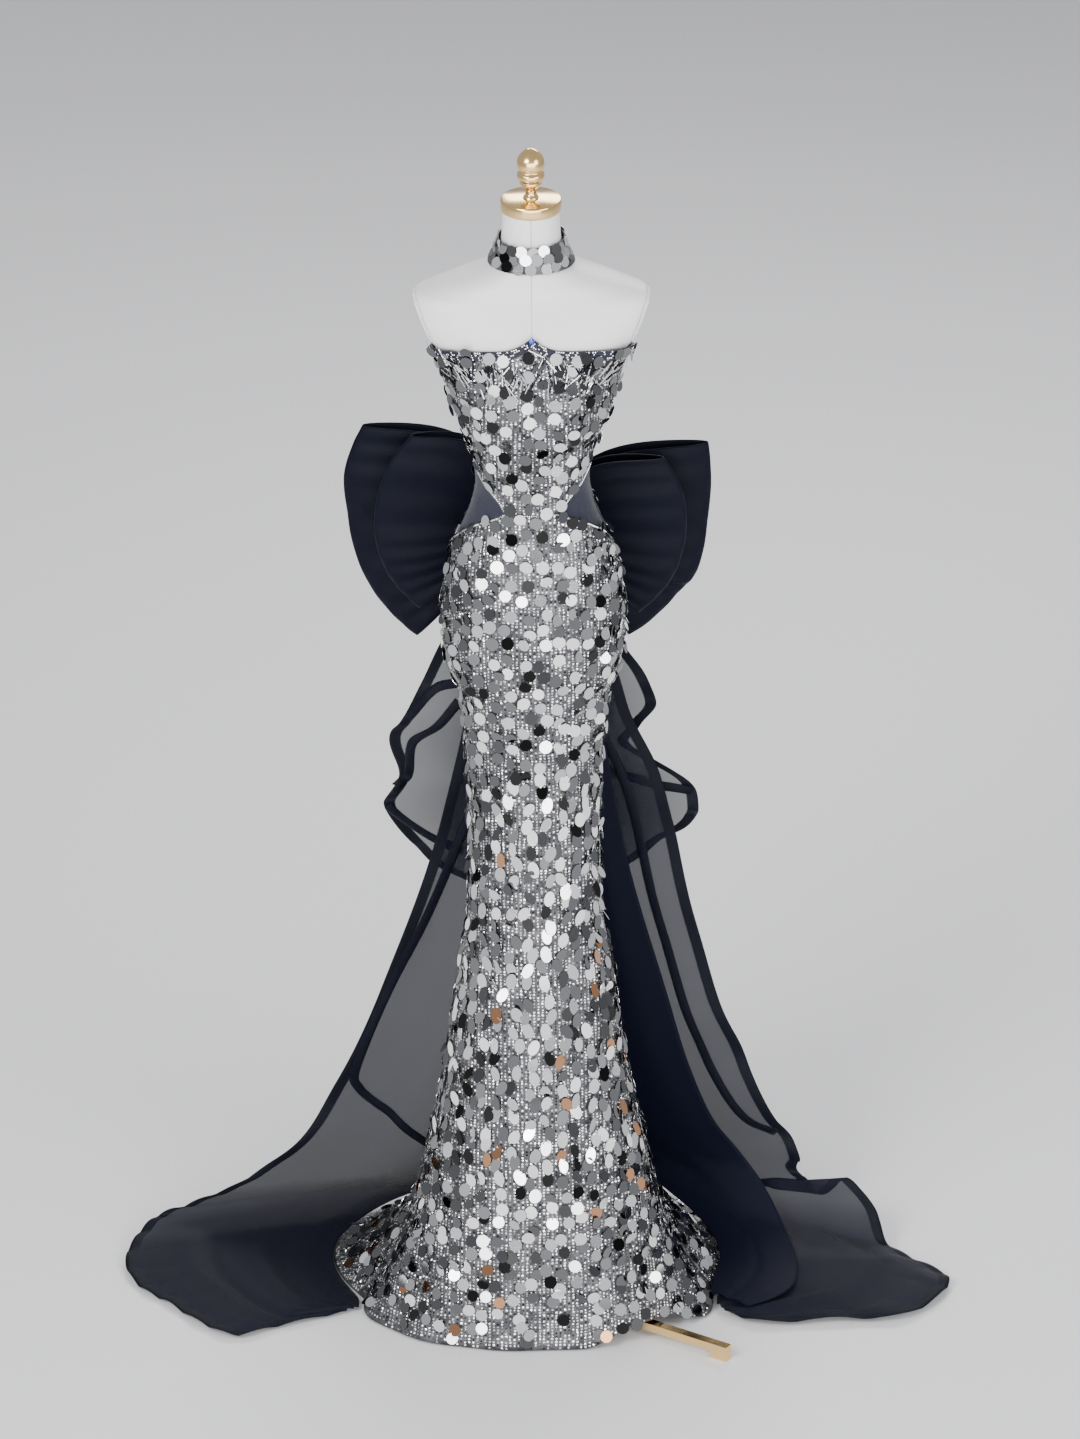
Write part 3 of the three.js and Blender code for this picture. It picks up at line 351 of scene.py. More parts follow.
def linked(name, data):
    """A new object in the scene."""
    thing = bpy.data.objects.new(name, data)
    bpy.context.collection.objects.link(thing)
    return thing


def add(name, points, faces, finish, nodes=(), uv=None, tone=None, smooth=True):
    """A mesh object from points in millimetres from the pole. faces is one array or several, each with
    its own number of sides. tone is one value a point, which the finish can read."""
    groups = faces if isinstance(faces, list) else [faces]
    data = bpy.data.meshes.new(name)
    data.vertices.add(len(points))
    data.vertices.foreach_set("co", (points / 1000 + POLE).astype(np.float32).ravel())
    corners = np.concatenate([g.ravel() for g in groups]).astype(np.int32)
    sizes = np.concatenate([np.full(len(g), g.shape[1]) for g in groups])
    data.loops.add(len(corners))
    data.loops.foreach_set("vertex_index", corners)
    data.polygons.add(len(sizes))
    data.polygons.foreach_set("loop_start", (np.cumsum(sizes) - sizes).astype(np.int32))
    data.update(calc_edges=True)
    if uv is not None:
        layer = data.uv_layers.new(name="cloth")
        layer.data.foreach_set("uv", uv[corners].astype(np.float32).ravel())
    if tone is not None:
        values = data.attributes.new("tone", "FLOAT", "POINT")
        values.data.foreach_set("value", tone.astype(np.float32))
    data.polygons.foreach_set("use_smooth", np.full(len(sizes), smooth))
    data.materials.append(finish)
    thing = linked(name, data)
    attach(thing, "root")
    if nodes:
        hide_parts(*nodes)
    return thing


def cloth(name, grid, thickness, finish, nodes, closed=False, tone=None):
    """A sheet of cloth: the wall between a grid and the same grid moved in by the thickness, with the
    distance across and along it in metres as its UV. It also works out a flat size, the longest row by
    the longest column of the grid grown to at least its area, which nothing uses."""
    normals = grid_normals(grid, closed)
    inner = grid - normals * (thickness[..., None] if np.ndim(thickness) else thickness)
    inner[..., 2] = np.maximum(inner[..., 2], FLOOR_CLEARANCE)
    points, faces = wall(grid, inner, closed)
    loop = np.concatenate([grid, grid[:, :1]], axis=1) if closed else grid
    across = np.linalg.norm(np.diff(loop, axis=1), axis=-1)
    along = np.linalg.norm(np.diff(grid, axis=0), axis=-1)
    u = np.concatenate([np.zeros((len(grid), 1)), np.cumsum(across, axis=1)], axis=1)[:, :grid.shape[1]]
    v = np.concatenate([np.zeros((1, grid.shape[1])), np.cumsum(along, axis=0)], axis=0)
    # Across is measured from the far edge, where the trims are
    u = u[:, -1:] - u
    uv = np.stack([u, v], axis=-1).reshape(-1, 2) / 1000
    tones = None if tone is None else np.tile(tone.ravel(), 2)
    sheet = add(name, points, outward(points, faces), finish, nodes, np.tile(uv, (2, 1)), tones)
    upper = np.cross(loop[:-1, 1:] - loop[:-1, :-1], loop[1:, :-1] - loop[:-1, :-1])
    lower = np.cross(loop[1:, 1:] - loop[:-1, 1:], loop[1:, 1:] - loop[1:, :-1])
    area = (np.linalg.norm(upper, axis=-1).sum() + np.linalg.norm(lower, axis=-1).sum()) / 2 / 1e6
    width, length = across.sum(axis=1).max() / 1000, along.sum(axis=0).max() / 1000
    grow = max(1, (area / (width * length)) ** 0.5)
    width, length = width * grow, length * grow
    return sheet


def material(name, colour, roughness, metallic=0.0, **settings):
    """A principled material with plain settings. Returns it with its shader and node tree."""
    made = bpy.data.materials.new(name)
    made.use_nodes = True
    tree = made.node_tree
    shader = tree.nodes["Principled BSDF"]
    shader.inputs["Base Color"].default_value = (*colour, 1)
    shader.inputs["Roughness"].default_value = roughness
    shader.inputs["Metallic"].default_value = metallic
    for key, value in settings.items():
        shader.inputs[key.replace("_", " ")].default_value = value
    return made, shader, tree


def feed(tree, socket, value):
    """Links another node's output to a socket, or sets the socket to a number."""
    if isinstance(value, bpy.types.NodeSocket):
        tree.links.new(value, socket)
    else:
        socket.default_value = value


def math_node(tree, operation, *values):
    node = tree.nodes.new("ShaderNodeMath")
    node.operation = operation
    for socket, value in zip(node.inputs, values):
        feed(tree, socket, value)
    return node.outputs[0]


def map_range(tree, value, **ends):
    node = tree.nodes.new("ShaderNodeMapRange")
    feed(tree, node.inputs["Value"], value)
    for label, end in ends.items():
        feed(tree, node.inputs[label.replace("_", " ")], end)
    return node.outputs[0]


def split_axes(tree, vector):
    node = tree.nodes.new("ShaderNodeSeparateXYZ")
    tree.links.new(vector, node.inputs[0])
    return node.outputs


def colour_by(tree, shader, value, stops):
    """The shader's colour follows a value from 0 to 1 through the stops."""
    node = tree.nodes.new("ShaderNodeValToRGB")
    band = node.color_ramp
    while len(band.elements) < len(stops):
        band.elements.new(1)
    for element, (place, colour) in zip(band.elements, stops):
        element.position = place
        element.color = (*colour, 1)
    tree.links.new(value, node.inputs["Fac"])
    tree.links.new(node.outputs["Color"], shader.inputs["Base Color"])


def group_tree(name, inputs, outputs):
    """An empty shader group with float or vector sockets, and its two ends."""
    tree = bpy.data.node_groups.new(name, "ShaderNodeTree")
    for side, sockets in (("INPUT", inputs), ("OUTPUT", outputs)):
        for label, kind in sockets:
            tree.interface.new_socket(label, in_out=side, socket_type=kind)
    return tree, tree.nodes.new("NodeGroupInput"), tree.nodes.new("NodeGroupOutput")


def fine_weave():
    """Two crossed waves over the cloth's own UV in metres: a height for threads at a pitch."""
    tree, start, end = group_tree("fine_weave", [("UV", "NodeSocketVector"), ("Pitch", "NodeSocketFloat")],
                                  [("Height", "NodeSocketFloat")])
    turns = tree.nodes.new("ShaderNodeVectorMath")
    turns.operation = "SCALE"
    tree.links.new(start.outputs["UV"], turns.inputs[0])
    tree.links.new(math_node(tree, "DIVIDE", 2 * math.pi, start.outputs["Pitch"]), turns.inputs["Scale"])
    axes = split_axes(tree, turns.outputs[0])
    waves = [math_node(tree, "SINE", axes[axis]) for axis in ("X", "Y")]
    tree.links.new(math_node(tree, "MULTIPLY", *waves), end.inputs["Height"])
    return tree


def soft_variation():
    """Slow noise over object coordinates, from low to high, for uneven dye or wear."""
    tree, start, end = group_tree("soft_variation", [("Scale", "NodeSocketFloat"), ("Low", "NodeSocketFloat"),
                                                     ("High", "NodeSocketFloat")],
                                  [("Value", "NodeSocketFloat")])
    place = tree.nodes.new("ShaderNodeTexCoord")
    noise = tree.nodes.new("ShaderNodeTexNoise")
    tree.links.new(place.outputs["Object"], noise.inputs["Vector"])
    tree.links.new(start.outputs["Scale"], noise.inputs["Scale"])
    spread = map_range(tree, noise.outputs["Fac"], From_Min=0.3, From_Max=0.7,
                       To_Min=start.outputs["Low"], To_Max=start.outputs["High"])
    tree.links.new(spread, end.inputs["Value"])
    return tree


def use_group(tree, group, **values):
    node = tree.nodes.new("ShaderNodeGroup")
    node.node_tree = group
    for key, value in values.items():
        node.inputs[key].default_value = value
    return node


def attribute(tree, name):
    node = tree.nodes.new("ShaderNodeAttribute")
    node.attribute_name = name
    return node.outputs["Fac"]


def uv_of(tree):
    node = tree.nodes.new("ShaderNodeUVMap")
    node.uv_map = "cloth"
    return node.outputs["UV"]


def bump(tree, shader, height, distance, strength=1.0):
    node = tree.nodes.new("ShaderNodeBump")
    node.inputs["Distance"].default_value = distance
    node.inputs["Strength"].default_value = strength
    tree.links.new(height, node.inputs["Height"])
    tree.links.new(node.outputs["Normal"], shader.inputs["Normal"])


def grey(value, tint=(1, 1, 1)):
    return tuple(value * t for t in tint)


def toned(name, stops, roughness, metallic=1.0):
    """A finish whose colour follows each small piece's tone: the beads' own navy and silver, and the sequins'
    painted reflections.
    """
    made, shader, tree = material(name, (0.5, 0.5, 0.5), roughness, metallic)
    colour_by(tree, shader, attribute(tree, "tone"), stops)
    return made


def sequin_ground():
    """Dark silver net under the sequins, unevenly dyed."""
    made, shader, tree = material("sequin ground", (0.1, 0.1, 0.11), 0.45, 0.6)
    dye = use_group(tree, VARIATION, Scale=60.0, Low=0.0, High=1.0)
    colour_by(tree, shader, dye.outputs["Value"], [(0.0, (0.04, 0.041, 0.048)), (1.0, (0.15, 0.15, 0.16))])
    return made


def sheer(name, colour, alpha, roughness=0.5, pitch=0.0016, sheen=0.25):
    """Thin see-through cloth with a fine weave."""
    made, shader, tree = material(name, colour, roughness, Alpha=alpha, Sheen_Weight=sheen,
                                  Sheen_Roughness=0.4, Specular_IOR_Level=0.1)
    weave = use_group(tree, WEAVE, Pitch=pitch)
    tree.links.new(uv_of(tree), weave.inputs["UV"])
    bump(tree, shader, weave.outputs["Height"], 0.00015, 0.5)
    return made, shader, tree


def braided(name, colour, alpha):
    """Sheer cloth whose outer edge carries an opaque braid: the UV's across distance marks it. It is
    denser where its tone says that it lies in more layers."""
    made, shader, tree = sheer(name, colour, alpha, sheen=0.02)
    edge = map_range(tree, split_axes(tree, uv_of(tree))["X"], From_Min=BRAID_WIDTH / 1000,
                     From_Max=BRAID_WIDTH / 1000 - 0.002)
    layers = map_range(tree, attribute(tree, "tone"), To_Min=alpha, To_Max=0.9)
    tree.links.new(map_range(tree, edge, To_Min=layers, To_Max=0.96), shader.inputs["Alpha"])
    colour_by(tree, shader, edge, [(0.0, colour), (1.0, (0.004, 0.005, 0.01))])
    return made


def satin():
    """White satin with a fine seam down the front of the form."""
    made, shader, tree = material("white satin", (0.8, 0.77, 0.785), 0.42, Sheen_Weight=0.2)
    place = tree.nodes.new("ShaderNodeTexCoord")
    away = math_node(tree, "SUBTRACT", split_axes(tree, place.outputs["Object"])["X"], float(POLE[0]))
    seam = map_range(tree, math_node(tree, "ABSOLUTE", away), From_Max=0.0012)
    colour_by(tree, shader, seam, [(0.0, (0.5, 0.47, 0.49)), (1.0, (0.8, 0.77, 0.785))])
    bump(tree, shader, seam, 0.0006)
    return made


def gold():
    made, shader, tree = material("polished gilt", (0.86, 0.6, 0.27), 0.16, 1.0)
    wear = use_group(tree, VARIATION, Scale=14.0, Low=0.12, High=0.24)
    tree.links.new(wear.outputs["Value"], shader.inputs["Roughness"])
    return made


WEAVE = fine_weave()
VARIATION = soft_variation()
# The paillettes' colours are painted reflections: the greys from near black to white stand for what each
# mirror disc reflects, white is a painted highlight, and the two browns at the top end are a painted
# reflection of a wooden floor.
SILVER_PAINTED_REFLECTIONS = [(0.0, grey(0.01)), (0.12, grey(0.035)), (0.36, grey(0.13, (0.97, 1, 1.05))), (0.52, grey(0.24)),
          (0.7, grey(0.62, (0.99, 1, 1.02))), (0.93, grey(1.0)), (0.96, grey(1.0)), (0.97, (0.42, 0.2, 0.1)),
          (1.0, (0.55, 0.3, 0.17))]
PAILLETTES = toned("paillettes", SILVER_PAINTED_REFLECTIONS, 0.09)
# The row sequins' greys are painted reflections, white for a painted glint.
ROWS = toned("row sequins", [(0.0, grey(0.02)), (0.3, grey(0.12)), (0.5, grey(0.6)), (1.0, grey(1.0))], 0.2)
BEADS = toned("beads", [(0.0, (0.008, 0.009, 0.018)), (0.45, (0.025, 0.028, 0.05)), (0.5, grey(0.5)),
                        (1.0, grey(0.92))], 0.16, 0.85)
GROUND = sequin_ground()
NET = sheer("sheer net", (0.03, 0.032, 0.05), 0.8, 0.6)[0]
BOW = sheer("bow organza", (0.0012, 0.0018, 0.0075), 0.985, 0.5, 0.0018, 0.05)[0]
TAIL = braided("tail organza", (0.006, 0.007, 0.016), 0.5)
BRAID = sheer("braid", (0.004, 0.005, 0.011), 0.9, 0.55, 0.0022, 0.04)[0]
PANEL = sheer("dark panel", (0.002, 0.003, 0.011), 0.975, 0.55, 0.0018, 0.03)[0]
SATIN = satin()
GILT = gold()
TRIM = material("trim ground", (0.015, 0.016, 0.026), 0.6)[0]
CRYSTAL = material("blue crystal", (0.05, 0.16, 0.85), 0.03, 0.0, Transmission_Weight=0.6, IOR=1.6)[0]
ZIP = material("zip tape", (0.16, 0.165, 0.18), 0.7)[0]


def hem_height(angles):
    """The hem clears the front foot of the stand: flat over it, with a soft fall to each side."""
    away = np.abs(np.asarray(angles, float) - LEG_LIFT["angle"])
    return HEM_HEIGHT + LEG_LIFT["height"] * smoothstep(LEG_LIFT["flat"] + LEG_LIFT["width"] - away, 0,
                                                        LEG_LIFT["width"])


def back_edge_angle(z, distance):
    """The angle at which the surface is a given distance from the centre back."""
    half = smooth_row(FIGURE, z)[..., 0]
    return 180 - np.degrees(np.arcsin((distance / half) ** (SECTION_ROUNDNESS / 2)))


def back_seam_angle(z):
    return back_edge_angle(z, np.where(np.asarray(z) > ZIP_FOOT, ZIP_HALF_WIDTH + SEAM_GAP, SEAM_GAP / 2))


def neckline_height(angles):
    return smooth_row(NECKLINE, np.abs(angles))[..., 0]


def bodice_front_places():
    """From the upper edge of the side cut-outs, row by row wider, and on to the neckline."""
    edge = np.array(CUTOUT[:-1], float)
    angles = np.concatenate([edge[:, 0], np.full(12, SIDE_SEAM_FRONT)])
    t = np.linspace(-1, 1, 91)
    grid_angles = angles[:, None] * t
    lower = np.broadcast_to(edge[:, 1:2], (len(edge), len(t)))
    share = np.linspace(1 / 12, 1, 12)[:, None]
    upper = edge[-1, 1] * (1 - share) + neckline_height(grid_angles[len(edge):]) * share
    return refine(np.stack([grid_angles, np.concatenate([lower, upper])], axis=-1), 84, 91)


def bodice_back_places(side):
    edge = [(WAIST_SEAM_BACK + SEAM_GAP, BACK_PANEL_ANGLE), (1440, BACK_PANEL_ANGLE),
            (CUTOUT[9][1] + 1, BACK_PANEL_ANGLE), (CUTOUT[8][1] + 1, SIDE_SEAM_BACK)]
    low = np.array([z for z, _ in edge], float)
    starts = [start for _, start in edge] + [SIDE_SEAM_BACK] * 10
    share = np.linspace(0.1, 1, 10)[:, None]
    level = (low[-1] * (1 - share) + NECKLINE[10][1] * share)[:, 0]
    ends = back_seam_angle(np.concatenate([low, level]))
    t = np.linspace(0, 1, 45)
    angles = np.asarray(starts)[:, None] * (1 - t) + ends[:, None] * t
    upper = low[-1] * (1 - share) + neckline_height(angles[4:]) * share
    heights = np.concatenate([np.broadcast_to(low[:, None], (4, 45)), upper])
    return refine(np.stack([side * angles, heights], axis=-1), 70, 45)


def inset_places(side):
    angles = np.linspace(INSET_TIP_ANGLE, CUTOUT[9][0], 60)
    t = np.linspace(0, 1, 24)[:, None]
    low = straight(CUTOUT, angles, 2) + INSET_EDGE_GAP
    high = straight(CUTOUT, angles, 1) - INSET_EDGE_GAP
    return np.stack([np.broadcast_to(side * angles, (24, 60)), low * (1 - t) + high * t], axis=-1)


def skirt_top(angles):
    inner = straight(CUTOUT, np.abs(angles), 2)
    return np.where(np.abs(angles) < CUTOUT[0][0], CUTOUT[0][1] - SEAM_GAP, inner)


def skirt_front_places():
    angles = np.linspace(-SIDE_SEAM_FRONT, SIDE_SEAM_FRONT, 97)
    t = np.linspace(0, 1, 130)[:, None]
    return np.stack([np.broadcast_to(angles, (130, 97)),
                     skirt_top(angles) * (1 - t) + hem_height(angles) * t], axis=-1)


def skirt_back_places(side):
    low = np.concatenate([[WAIST_SEAM_BACK - SEAM_GAP, CUTOUT[9][2] - 1, CUTOUT[8][2] - 1],
                          np.linspace(1335, 1240, 12), np.linspace(1228, 300, 40),
                          np.linspace(280, HEM_HEIGHT, 40)])
    starts = np.concatenate([[BACK_PANEL_ANGLE, BACK_PANEL_ANGLE], np.full(len(low) - 2, SIDE_SEAM_BACK)])
    t = np.linspace(0, 1, 61)
    angles = starts[:, None] * (1 - t) + back_seam_angle(low)[:, None] * t
    return refine(np.stack([side * angles, np.broadcast_to(low[:, None], angles.shape)], axis=-1), 130, 49)


def gown_panels():
    """The silver panels and the sheer insets. Each is a thin wall on the figure."""
    places = {"bodice_front": bodice_front_places()[::-1], "skirt_front": skirt_front_places()}
    for end, side in (("left", -1), ("right", 1)):
        places[f"bodice_back_{end}"] = bodice_back_places(side)[::-1]
        places[f"skirt_back_{end}"] = skirt_back_places(side)
        inset = inset_places(side)
        cloth(f"visual_inset_{end}", on_figure(inset, -0.3), NET_CLOTH, NET, [f"inset_{end}"])
    for name, grid in places.items():
        nodes = ["skirt_front_left", "skirt_front_right"] if name == "skirt_front" else [name]
        cloth(f"visual_{name}", on_figure(grid), SEQUIN_CLOTH, GROUND, nodes)
    return places


def small_pieces(name, centre, axes, shape, faces, finish, tone):
    """One mesh of many copies of a small shape. axes holds three directions a piece, already scaled."""
    count, corners = len(centre), len(shape)
    points = centre[:, None] + np.einsum("ck,nkx->ncx", shape, axes)
    shift = (np.arange(count) * corners)[:, None, None]
    copies = [(f[None] + shift).reshape(-1, f.shape[1]) for f in faces]
    return add(name, points.reshape(-1, 3), copies, finish, tone=np.repeat(tone, corners), smooth=False)


def rim_of(sides):
    turn = 2 * math.pi * np.arange(sides) / sides
    return np.stack([np.cos(turn), np.sin(turn), np.zeros(sides)], axis=1)


def disc_shape(sides):
    rim = rim_of(sides)
    points = np.concatenate([rim + [0, 0, 0.5], rim - [0, 0, 0.5]])
    k = np.arange(sides)
    edge = np.stack([k, k + sides, (k + 1) % sides + sides, (k + 1) % sides], axis=1)
    return points, [k[None], k[None, ::-1] + sides, edge]


def pyramid_shape(sides):
    """A low pyramid on a flat base: a small cupped sequin seen from outside."""
    k = np.arange(sides)
    slopes = np.stack([k, (k + 1) % sides, 0 * k + sides], axis=1)
    return np.concatenate([rim_of(sides), [[0, 0, 0.5]]]), [slopes, k[None, ::-1]]


def spread_places(grid, row_pitch, pitch, jitter, stagger, margin):
    """Places on a panel in rows row_pitch apart along its length and pitch apart across it, from its
    middle outwards, each moved by up to the jitter. Returns (angle, height) pairs."""
    points = on_figure(grid)
    middle = points[:, grid.shape[1] // 2]
    along = running_length(middle)
    found = []
    count = max(2, round((along[-1] - 2 * margin) / row_pitch) + 1)
    for number, at in enumerate(np.linspace(margin, along[-1] - margin, count)):
        row = np.interp(at, along, np.arange(len(along)))
        k = min(int(row), len(grid) - 2)
        blend = lambda values: values[k] * (1 - (row - k)) + values[k + 1] * (row - k)
        line, place = blend(points), blend(grid)
        reach = running_length(line)
        half = reach[-1] / 2
        count = int(half / pitch)
        steps = np.arange(-count, count + 1) * pitch + stagger * (number % 2 - 0.5) * pitch
        steps = half + steps + RANDOM.uniform(-jitter, jitter, len(steps))
        steps = steps[(steps > margin * 0.5) & (steps < reach[-1] - margin * 0.5)]
        angles = np.interp(steps, reach, place[:, 0])
        heights = np.interp(steps, reach, place[:, 1]) + RANDOM.uniform(-jitter, jitter, len(steps))
        found.append(np.stack([angles, heights], axis=1))
    return np.concatenate(found)


def laid_axes(places, across, up, thick, tilt_across, tilt_up, turn):
    """Scaled directions of flat pieces that lie on the gown, tilted by random angles in radians."""
    point, out, rise, side = figure_frame(places[:, 0], places[:, 1])
    count = len(places)
    normal = unit(out + side * RANDOM.normal(0, tilt_across, count)[:, None]
                  + rise * RANDOM.normal(0.06, tilt_up, count)[:, None])
    roll = RANDOM.uniform(-turn, turn, count)[:, None]
    first = unit(np.cross(rise * np.cos(roll) + side * np.sin(roll), normal))
    second = np.cross(normal, first)
    return point, out, np.stack([first * across[:, None], second * up[:, None], normal * thick], axis=1)


def painted_reflection_tones(count):
    """Painted reflections of the mirror discs, one grey a disc: most are mid grey, the rest light, white or
    near black; the white ones are painted highlights.
    """
    kind = RANDOM.random(count)
    centre = np.select([kind < 0.12, kind < 0.5, kind < 0.8], [0.05, 0.38, 0.7], 0.93)
    return np.clip(centre + RANDOM.normal(0, 0.045, count), 0, 0.95)


def sequins(places):
    """Large paillettes over vertical rows of small sequins, one mesh of each on every silver panel. The
    paillettes are drawn out into ovals over the thighs and sparse at the middle of the hem."""
    for name, grid in places.items():
        big = PAILLETTE
        at = spread_places(grid, big["row_pitch"], big["pitch"], big["jitter"], 1, big["margin"])
        low_middle = (np.abs(at[:, 0]) < HEM_THINNING["angle"]) & (at[:, 1] < HEM_THINNING["height"])
        keep = ~(low_middle & (RANDOM.random(len(at)) < HEM_THINNING["share"])) & (at[:, 1] > big["foot"])
        below = neckline_height(at[:, 0]) - at[:, 1]
        keep &= (below > big["top"]) | (np.abs(at[:, 0]) > SIDE_SEAM_FRONT)
        at, below = at[keep], below[keep]
        long = smoothstep(at[:, 1], *OVALS["start"]) * (1 - smoothstep(at[:, 1], *OVALS["end"]))
        size = RANDOM.uniform(0.93, 1.05, len(at)) * big["radius"]
        point, out, axes = laid_axes(at, size * (1 - OVALS["narrower"] * long),
                                     size * (1 + OVALS["longer"] * long), big["thickness"], big["tilt"],
                                     big["tilt"], big["turn"])
        lift = RANDOM.uniform(*big["lift"], len(at))[:, None]
        shape, faces = disc_shape(big["sides"])
        # The painted reflection tones are halved within 45 mm below the neckline and ease back to full by 95
        # mm below it.
        tone = painted_reflection_tones(len(at)) * (1 - 0.5 * smoothstep(-below, -95, -45))
        # A small share of the discs low on the skirt get the brown end of the ramp: a painted reflection of a
        # wooden floor.
        reflects_floor = (RANDOM.random(len(at)) < big["floor_reflection_share"]) & (at[:, 1] < big["floor_reflection_below"])
        small_pieces(f"paillettes_{name}", point + out * lift, axes, shape, faces, PAILLETTES,
                     np.where(reflects_floor, big["floor_reflection_tone"], tone))
        small = ROW_SEQUIN
        at = spread_places(grid, small["row_pitch"], small["pitch"], small["jitter"], 0, small["margin"])
        at = at[at[:, 1] > small["foot"]]
        size = RANDOM.uniform(0.85, 1.1, len(at)) * small["radius"]
        point, out, axes = laid_axes(at, size, size, small["thickness"], small["tilt"], small["tilt"],
                                     small["turn"])
        shape, faces = pyramid_shape(small["sides"])
        # Each small sequin's random grey, from near black to white, is a painted reflection; the white ones
        # are painted glints.
        small_pieces(f"row_sequins_{name}", point + out * small["lift"], axes, shape, faces, ROWS,
                     RANDOM.beta(0.7, 0.5, len(at)))


def beads_on(name, places, radius, lift, tone):
    """Round beads on the figure at (angle, height) places."""
    point, out, _, _ = figure_frame(places[:, 0], places[:, 1])
    along = np.tile(np.eye(3) * radius, (len(places), 1, 1))
    shape, faces = ball_shape()
    return small_pieces(name, point + out * lift, along, shape, faces, BEADS, tone)


def ball_shape():
    """An eight-sided ball of three rings between its poles, from the top down."""
    rings, sides = 3, 8
    fall = np.pi * np.arange(1, rings + 1) / (rings + 1)
    turn = 2 * np.pi * np.arange(sides) / sides
    ring = np.stack([np.sin(fall)[:, None] * np.cos(turn), np.sin(fall)[:, None] * np.sin(turn),
                     np.broadcast_to(np.cos(fall)[:, None], (rings, sides))], axis=-1).reshape(-1, 3)
    points = np.concatenate([ring, [[0, 0, 1], [0, 0, -1]]])
    return points, [faces[:, ::-1] for faces in ring_faces(rings, sides)]


def even_along(angles, heights, pitch):
    """Places a pitch apart along a line on the figure."""
    points = on_figure(np.stack([angles, heights], axis=-1)[None])[0]
    reach = running_length(points)
    at = np.arange(pitch / 2, reach[-1], pitch)
    return np.stack([np.interp(at, reach, angles), np.interp(at, reach, heights)], axis=1)


def neckline_beading():
    """The beaded edge: a dark band with rows of round beads."""
    angles = np.linspace(-SIDE_SEAM_FRONT, SIDE_SEAM_FRONT, 91)
    top = neckline_height(angles)
    down = np.linspace(1, 13, 7)[:, None]
    grid = np.stack([np.broadcast_to(angles, (7, 91)), top - down], axis=-1)
    cloth("visual_neckline_trim", on_figure(grid, 3.1), TRIM_THICKNESS, TRIM, ["neckline_trim"])
    rows = []
    for depth in NECKLINE_BEAD["depths"]:
        place = even_along(angles, top - depth, NECKLINE_BEAD["pitch"])
        rows.append((place, np.where(RANDOM.random(len(place)) < 0.42, 0.85, 0.25)))
    places = np.concatenate([place for place, _ in rows])
    tone = np.concatenate([t for _, t in rows]) + RANDOM.uniform(-0.12, 0.1, len(places))
    beads_on("neckline_beads", places, NECKLINE_BEAD["radius"], NECKLINE_BEAD["lift"], tone)


def neckline_discs():
    """A few dark paillettes that hang over the beaded edge, some past the side seams."""
    angles = np.concatenate([np.linspace(-80, 80, 17) + RANDOM.uniform(-4, 4, 17), [-91, -87, 88, 91]])
    places = np.stack([angles, neckline_height(angles) - RANDOM.uniform(1, 17, len(angles))], axis=1)
    places = places[np.abs(places[:, 0]) > 4]
    size = np.full(len(places), EDGE_DISC["radius"])
    point, out, axes = laid_axes(places, size, size, EDGE_DISC["thickness"], 0.3, 0.32, 0.6)
    shape, faces = disc_shape(EDGE_DISC["sides"])
    small_pieces("paillettes_neckline", point + out * EDGE_DISC["lift"], axes, shape, faces, PAILLETTES,
                 RANDOM.uniform(0.28, 0.5, len(places)))


def crystal_drop():
    """A faceted blue drop at the peak of the neckline."""
    low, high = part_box("centre_crystal")
    centre = (np.array((low + high) / 2) - POLE) * 1000
    half = (high.z - low.z) * 500
    turn = 2 * np.pi * np.arange(12) / 12
    rings = [(0.45, -0.66), (0.9, -0.3), (1.0, -0.05), (0.72, 0.4), (0.35, 0.78)]
    width = (high.x - low.x) * 500
    ring = np.concatenate([np.stack([width * r * np.cos(turn), 0.8 * width * r * np.sin(turn),
                                     np.full(12, half * z)], axis=1) for r, z in rings])
    points = np.concatenate([ring, [[0, 0, -half], [0, 0, half]]]) + centre
    add("visual_crystal", points, list(ring_faces(len(rings), 12)), CRYSTAL,
        ["centre_crystal"], smooth=False)


def stick_beads():
    """Loose silver bugle beads that fan out over the upper bust, below the neckline."""
    count, spread = BUGLE["count"], BUGLE["spread"]
    angles = RANDOM.uniform(-spread, spread, count)
    fall = RANDOM.uniform(*BUGLE["fall"], count) * (1 - 0.35 * np.abs(angles) / spread)
    places = np.stack([angles, neckline_height(angles) - fall], axis=1)
    point, out, rise, side = figure_frame(places[:, 0], places[:, 1])
    lean = np.radians(angles * 0.9 + RANDOM.normal(0, 24, count))[:, None]
    stand_off = RANDOM.uniform(-0.02, 0.16, count)[:, None]
    along = unit(rise * np.cos(lean) + side * np.sin(lean) + out * stand_off)
    first = unit(np.cross(along, out))
    second = np.cross(along, first)
    length = RANDOM.uniform(*BUGLE["length"], count)[:, None]
    axes = np.stack([first * BUGLE["radius"], second * BUGLE["radius"], along * length], axis=1)
    shape, faces = disc_shape(6)
    small_pieces("bugle_beads", point + out * BUGLE["lift"], axes, shape, faces, BEADS,
                 RANDOM.choice([0.1, 0.3, 0.6, 0.85, 1.0], count))


def edge_lines():
    """Silver beads along the cut edges of the waist insets and the top of the skirt."""
    found, beside, pitch = [], EDGE_BEAD["beside"], EDGE_BEAD["pitch"]
    for side in (-1, 1):
        angles = np.linspace(CUTOUT[0][0], CUTOUT[9][0], 60)
        for column, shift in ((1, beside), (2, -beside)):
            found.append(even_along(side * angles, straight(CUTOUT, angles, column) + shift, pitch))
    middle = np.linspace(-CUTOUT[0][0], CUTOUT[0][0], 30)
    found.append(even_along(middle, np.full(30, CUTOUT[0][1] - 1.0), pitch))
    places = np.concatenate(found)
    tone = RANDOM.uniform(0.75, 1.0, len(places))
    beads_on("edge_beads", places, EDGE_BEAD["radius"], EDGE_BEAD["lift"], tone)


